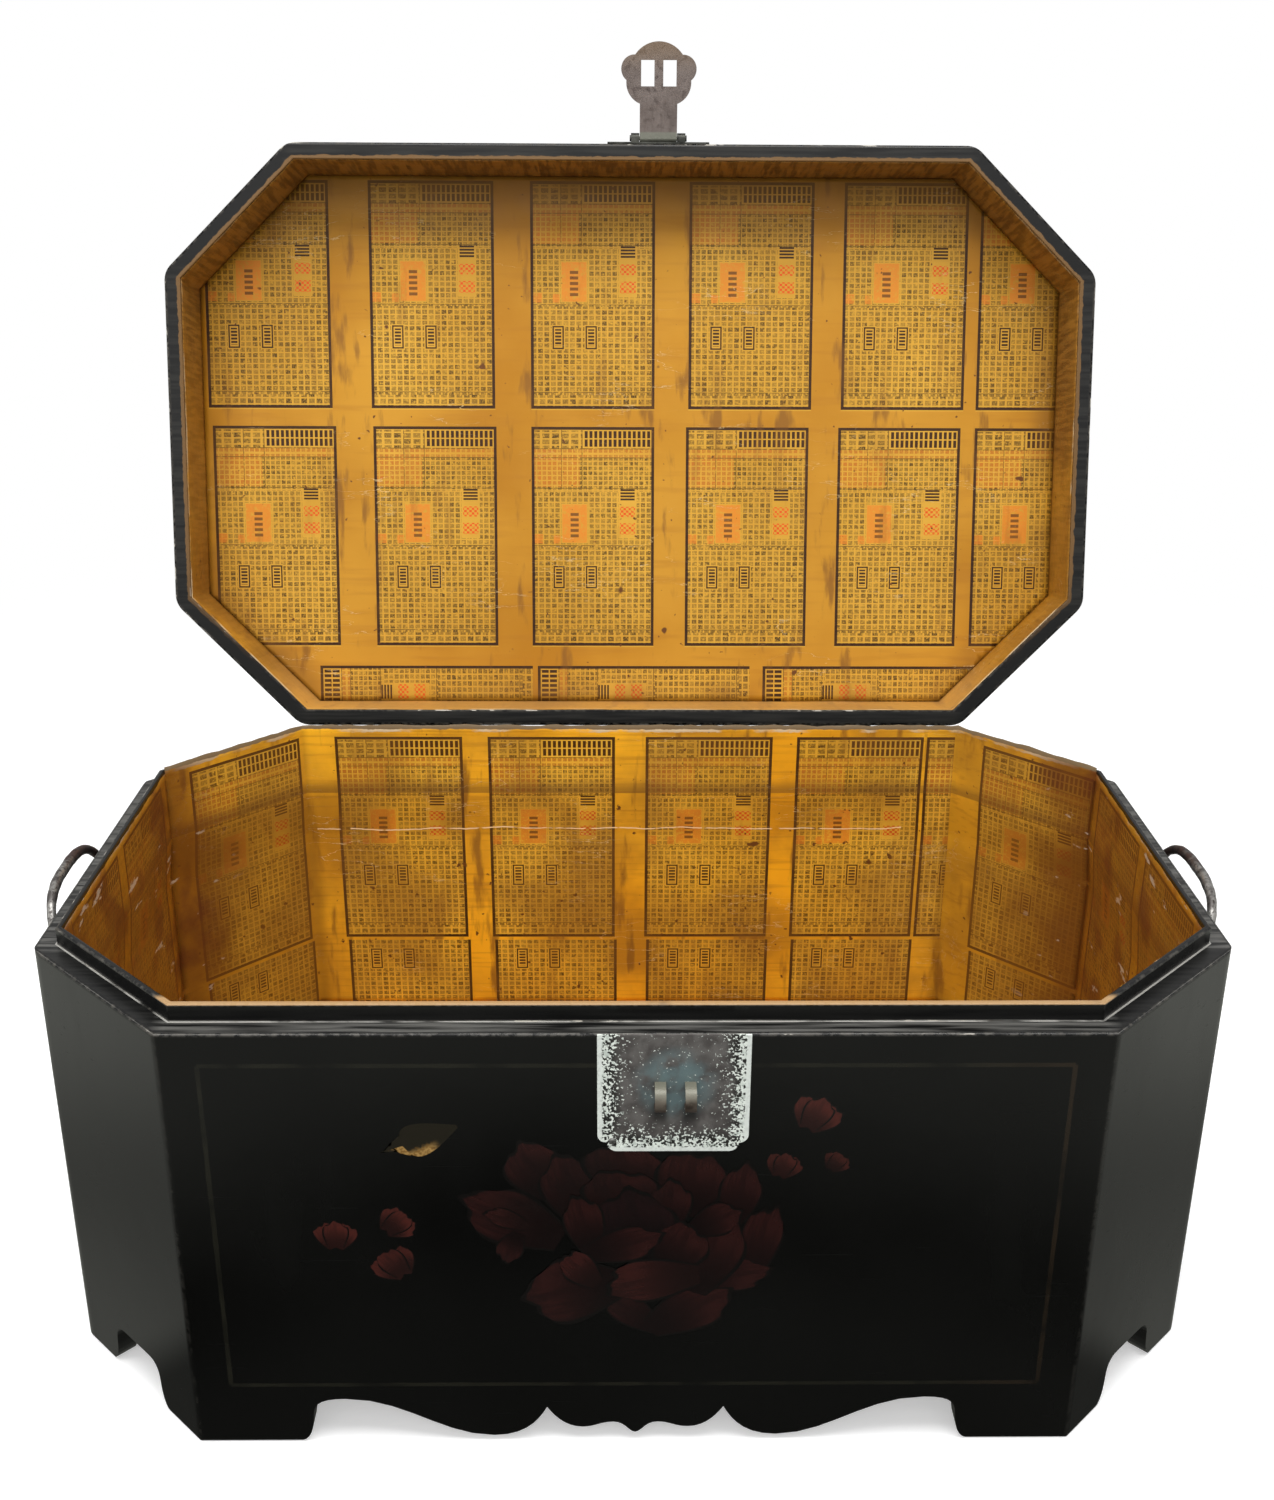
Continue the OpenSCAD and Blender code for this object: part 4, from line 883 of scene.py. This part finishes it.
def bail_path():
    """Places and radii along a handle: pin, bend and flattened arch, then the same backwards."""
    half = list(BEND)
    for degrees in range(3, 88, 3):
        angle = math.radians(degrees)
        out = BAIL_REACH * math.sin(angle) ** 0.7
        if out > ARCH_FROM:
            radius = ARM_R + (GRIP_R - ARM_R) * math.sin(angle) ** 3
            half.append((BAIL_HALF * math.cos(angle) ** 0.7, out, radius))
    return half + [(0, BAIL_REACH, GRIP_R)] + [(-x, y, radius) for x, y, radius in reversed(half)]


iron = Finish("handle_iron", Metallic=0.7)
where = trunk_place(iron, False)
_, y, _ = split(iron, where)
mottle = iron.cloud(where, 120, 5)
pits = iron.fade(iron.cloud(where, 480, 3), 0.56, 0.66)
silver = iron.blend(iron.fade(mottle, 0.4, 0.6), (0.33, 0.32, 0.3, 1), (0.11, 0.1, 0.095, 1))
rust = iron.blend(iron.fade(mottle, 0.4, 0.6), (0.05, 0.034, 0.034, 1), (0.1, 0.06, 0.052, 1))
colour = iron.blend(iron.fade(iron.sum("ADD", y, iron.all_of(mottle, 0.06)), 0.015, 0.055), silver, rust)
iron.paint(Base_Color=iron.blend(iron.all_of(pits, 0.7), colour, (0.03, 0.02, 0.018, 1)),
           Roughness=iron.add("MapRange", [mottle, 0.3, 0.7, 0.35, 0.6]))
iron.relief(iron.sum("SUBTRACT", mottle, iron.all_of(pits, 0.6)), 0.0007, 0.7)

for side, hand in ((-1, "left"), (1, "right")):
    path = bail_path()
    curve = bpy.data.curves.new(hand + "_rod", "CURVE")
    curve.dimensions = "3D"
    curve.bevel_depth, curve.bevel_resolution, curve.use_fill_caps = 1, 5, True
    spline = curve.splines.new("POLY")
    spline.points.add(len(path) - 1)
    for point, (x, y, radius) in zip(spline.points, path):
        point.co = (x, -y, 0, 1)
        point.radius = radius
    rod = bpy.data.objects.new(hand + "_rod", curve)
    mesh = bpy.data.meshes.new_from_object(rod)
    bpy.data.objects.remove(rod)
    bail = bmesh.new()
    bail.from_mesh(mesh)
    bpy.data.meshes.remove(mesh)
    bmesh.ops.remove_doubles(bail, verts=bail.verts, dist=1e-5)
    bmesh.ops.recalc_face_normals(bail, faces=bail.faces)
    bail.normal_update()
    dents = [vert.normal * DENT * noise.noise(vert.co * 130 + Vector((0, 0, side))) for vert in bail.verts]
    for vert, dent in zip(bail.verts, dents):
        if vert.co.y < -DENTS_FROM:
            vert.co += dent
    way = (Matrix.Translation((side * LENGTH / 2, MIDDLE_Y, joints[hand + "_bail_pivot"]["pos_m"][2]))
           @ Matrix.Rotation(side * math.pi / 2, 4, "Z") @ Matrix.Translation((0, -BAIL_OUT, 0))
           @ Matrix.Rotation(-BAIL_RAISE, 4, "X"))
    bmesh.ops.transform(bail, matrix=way, verts=bail.verts)
    handle = finished(bail, hand + "_handle", iron.material, hand + "_bail")
    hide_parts(hand + "_bail")
iron.coat("left_bail_eyes", "right_bail_eyes")
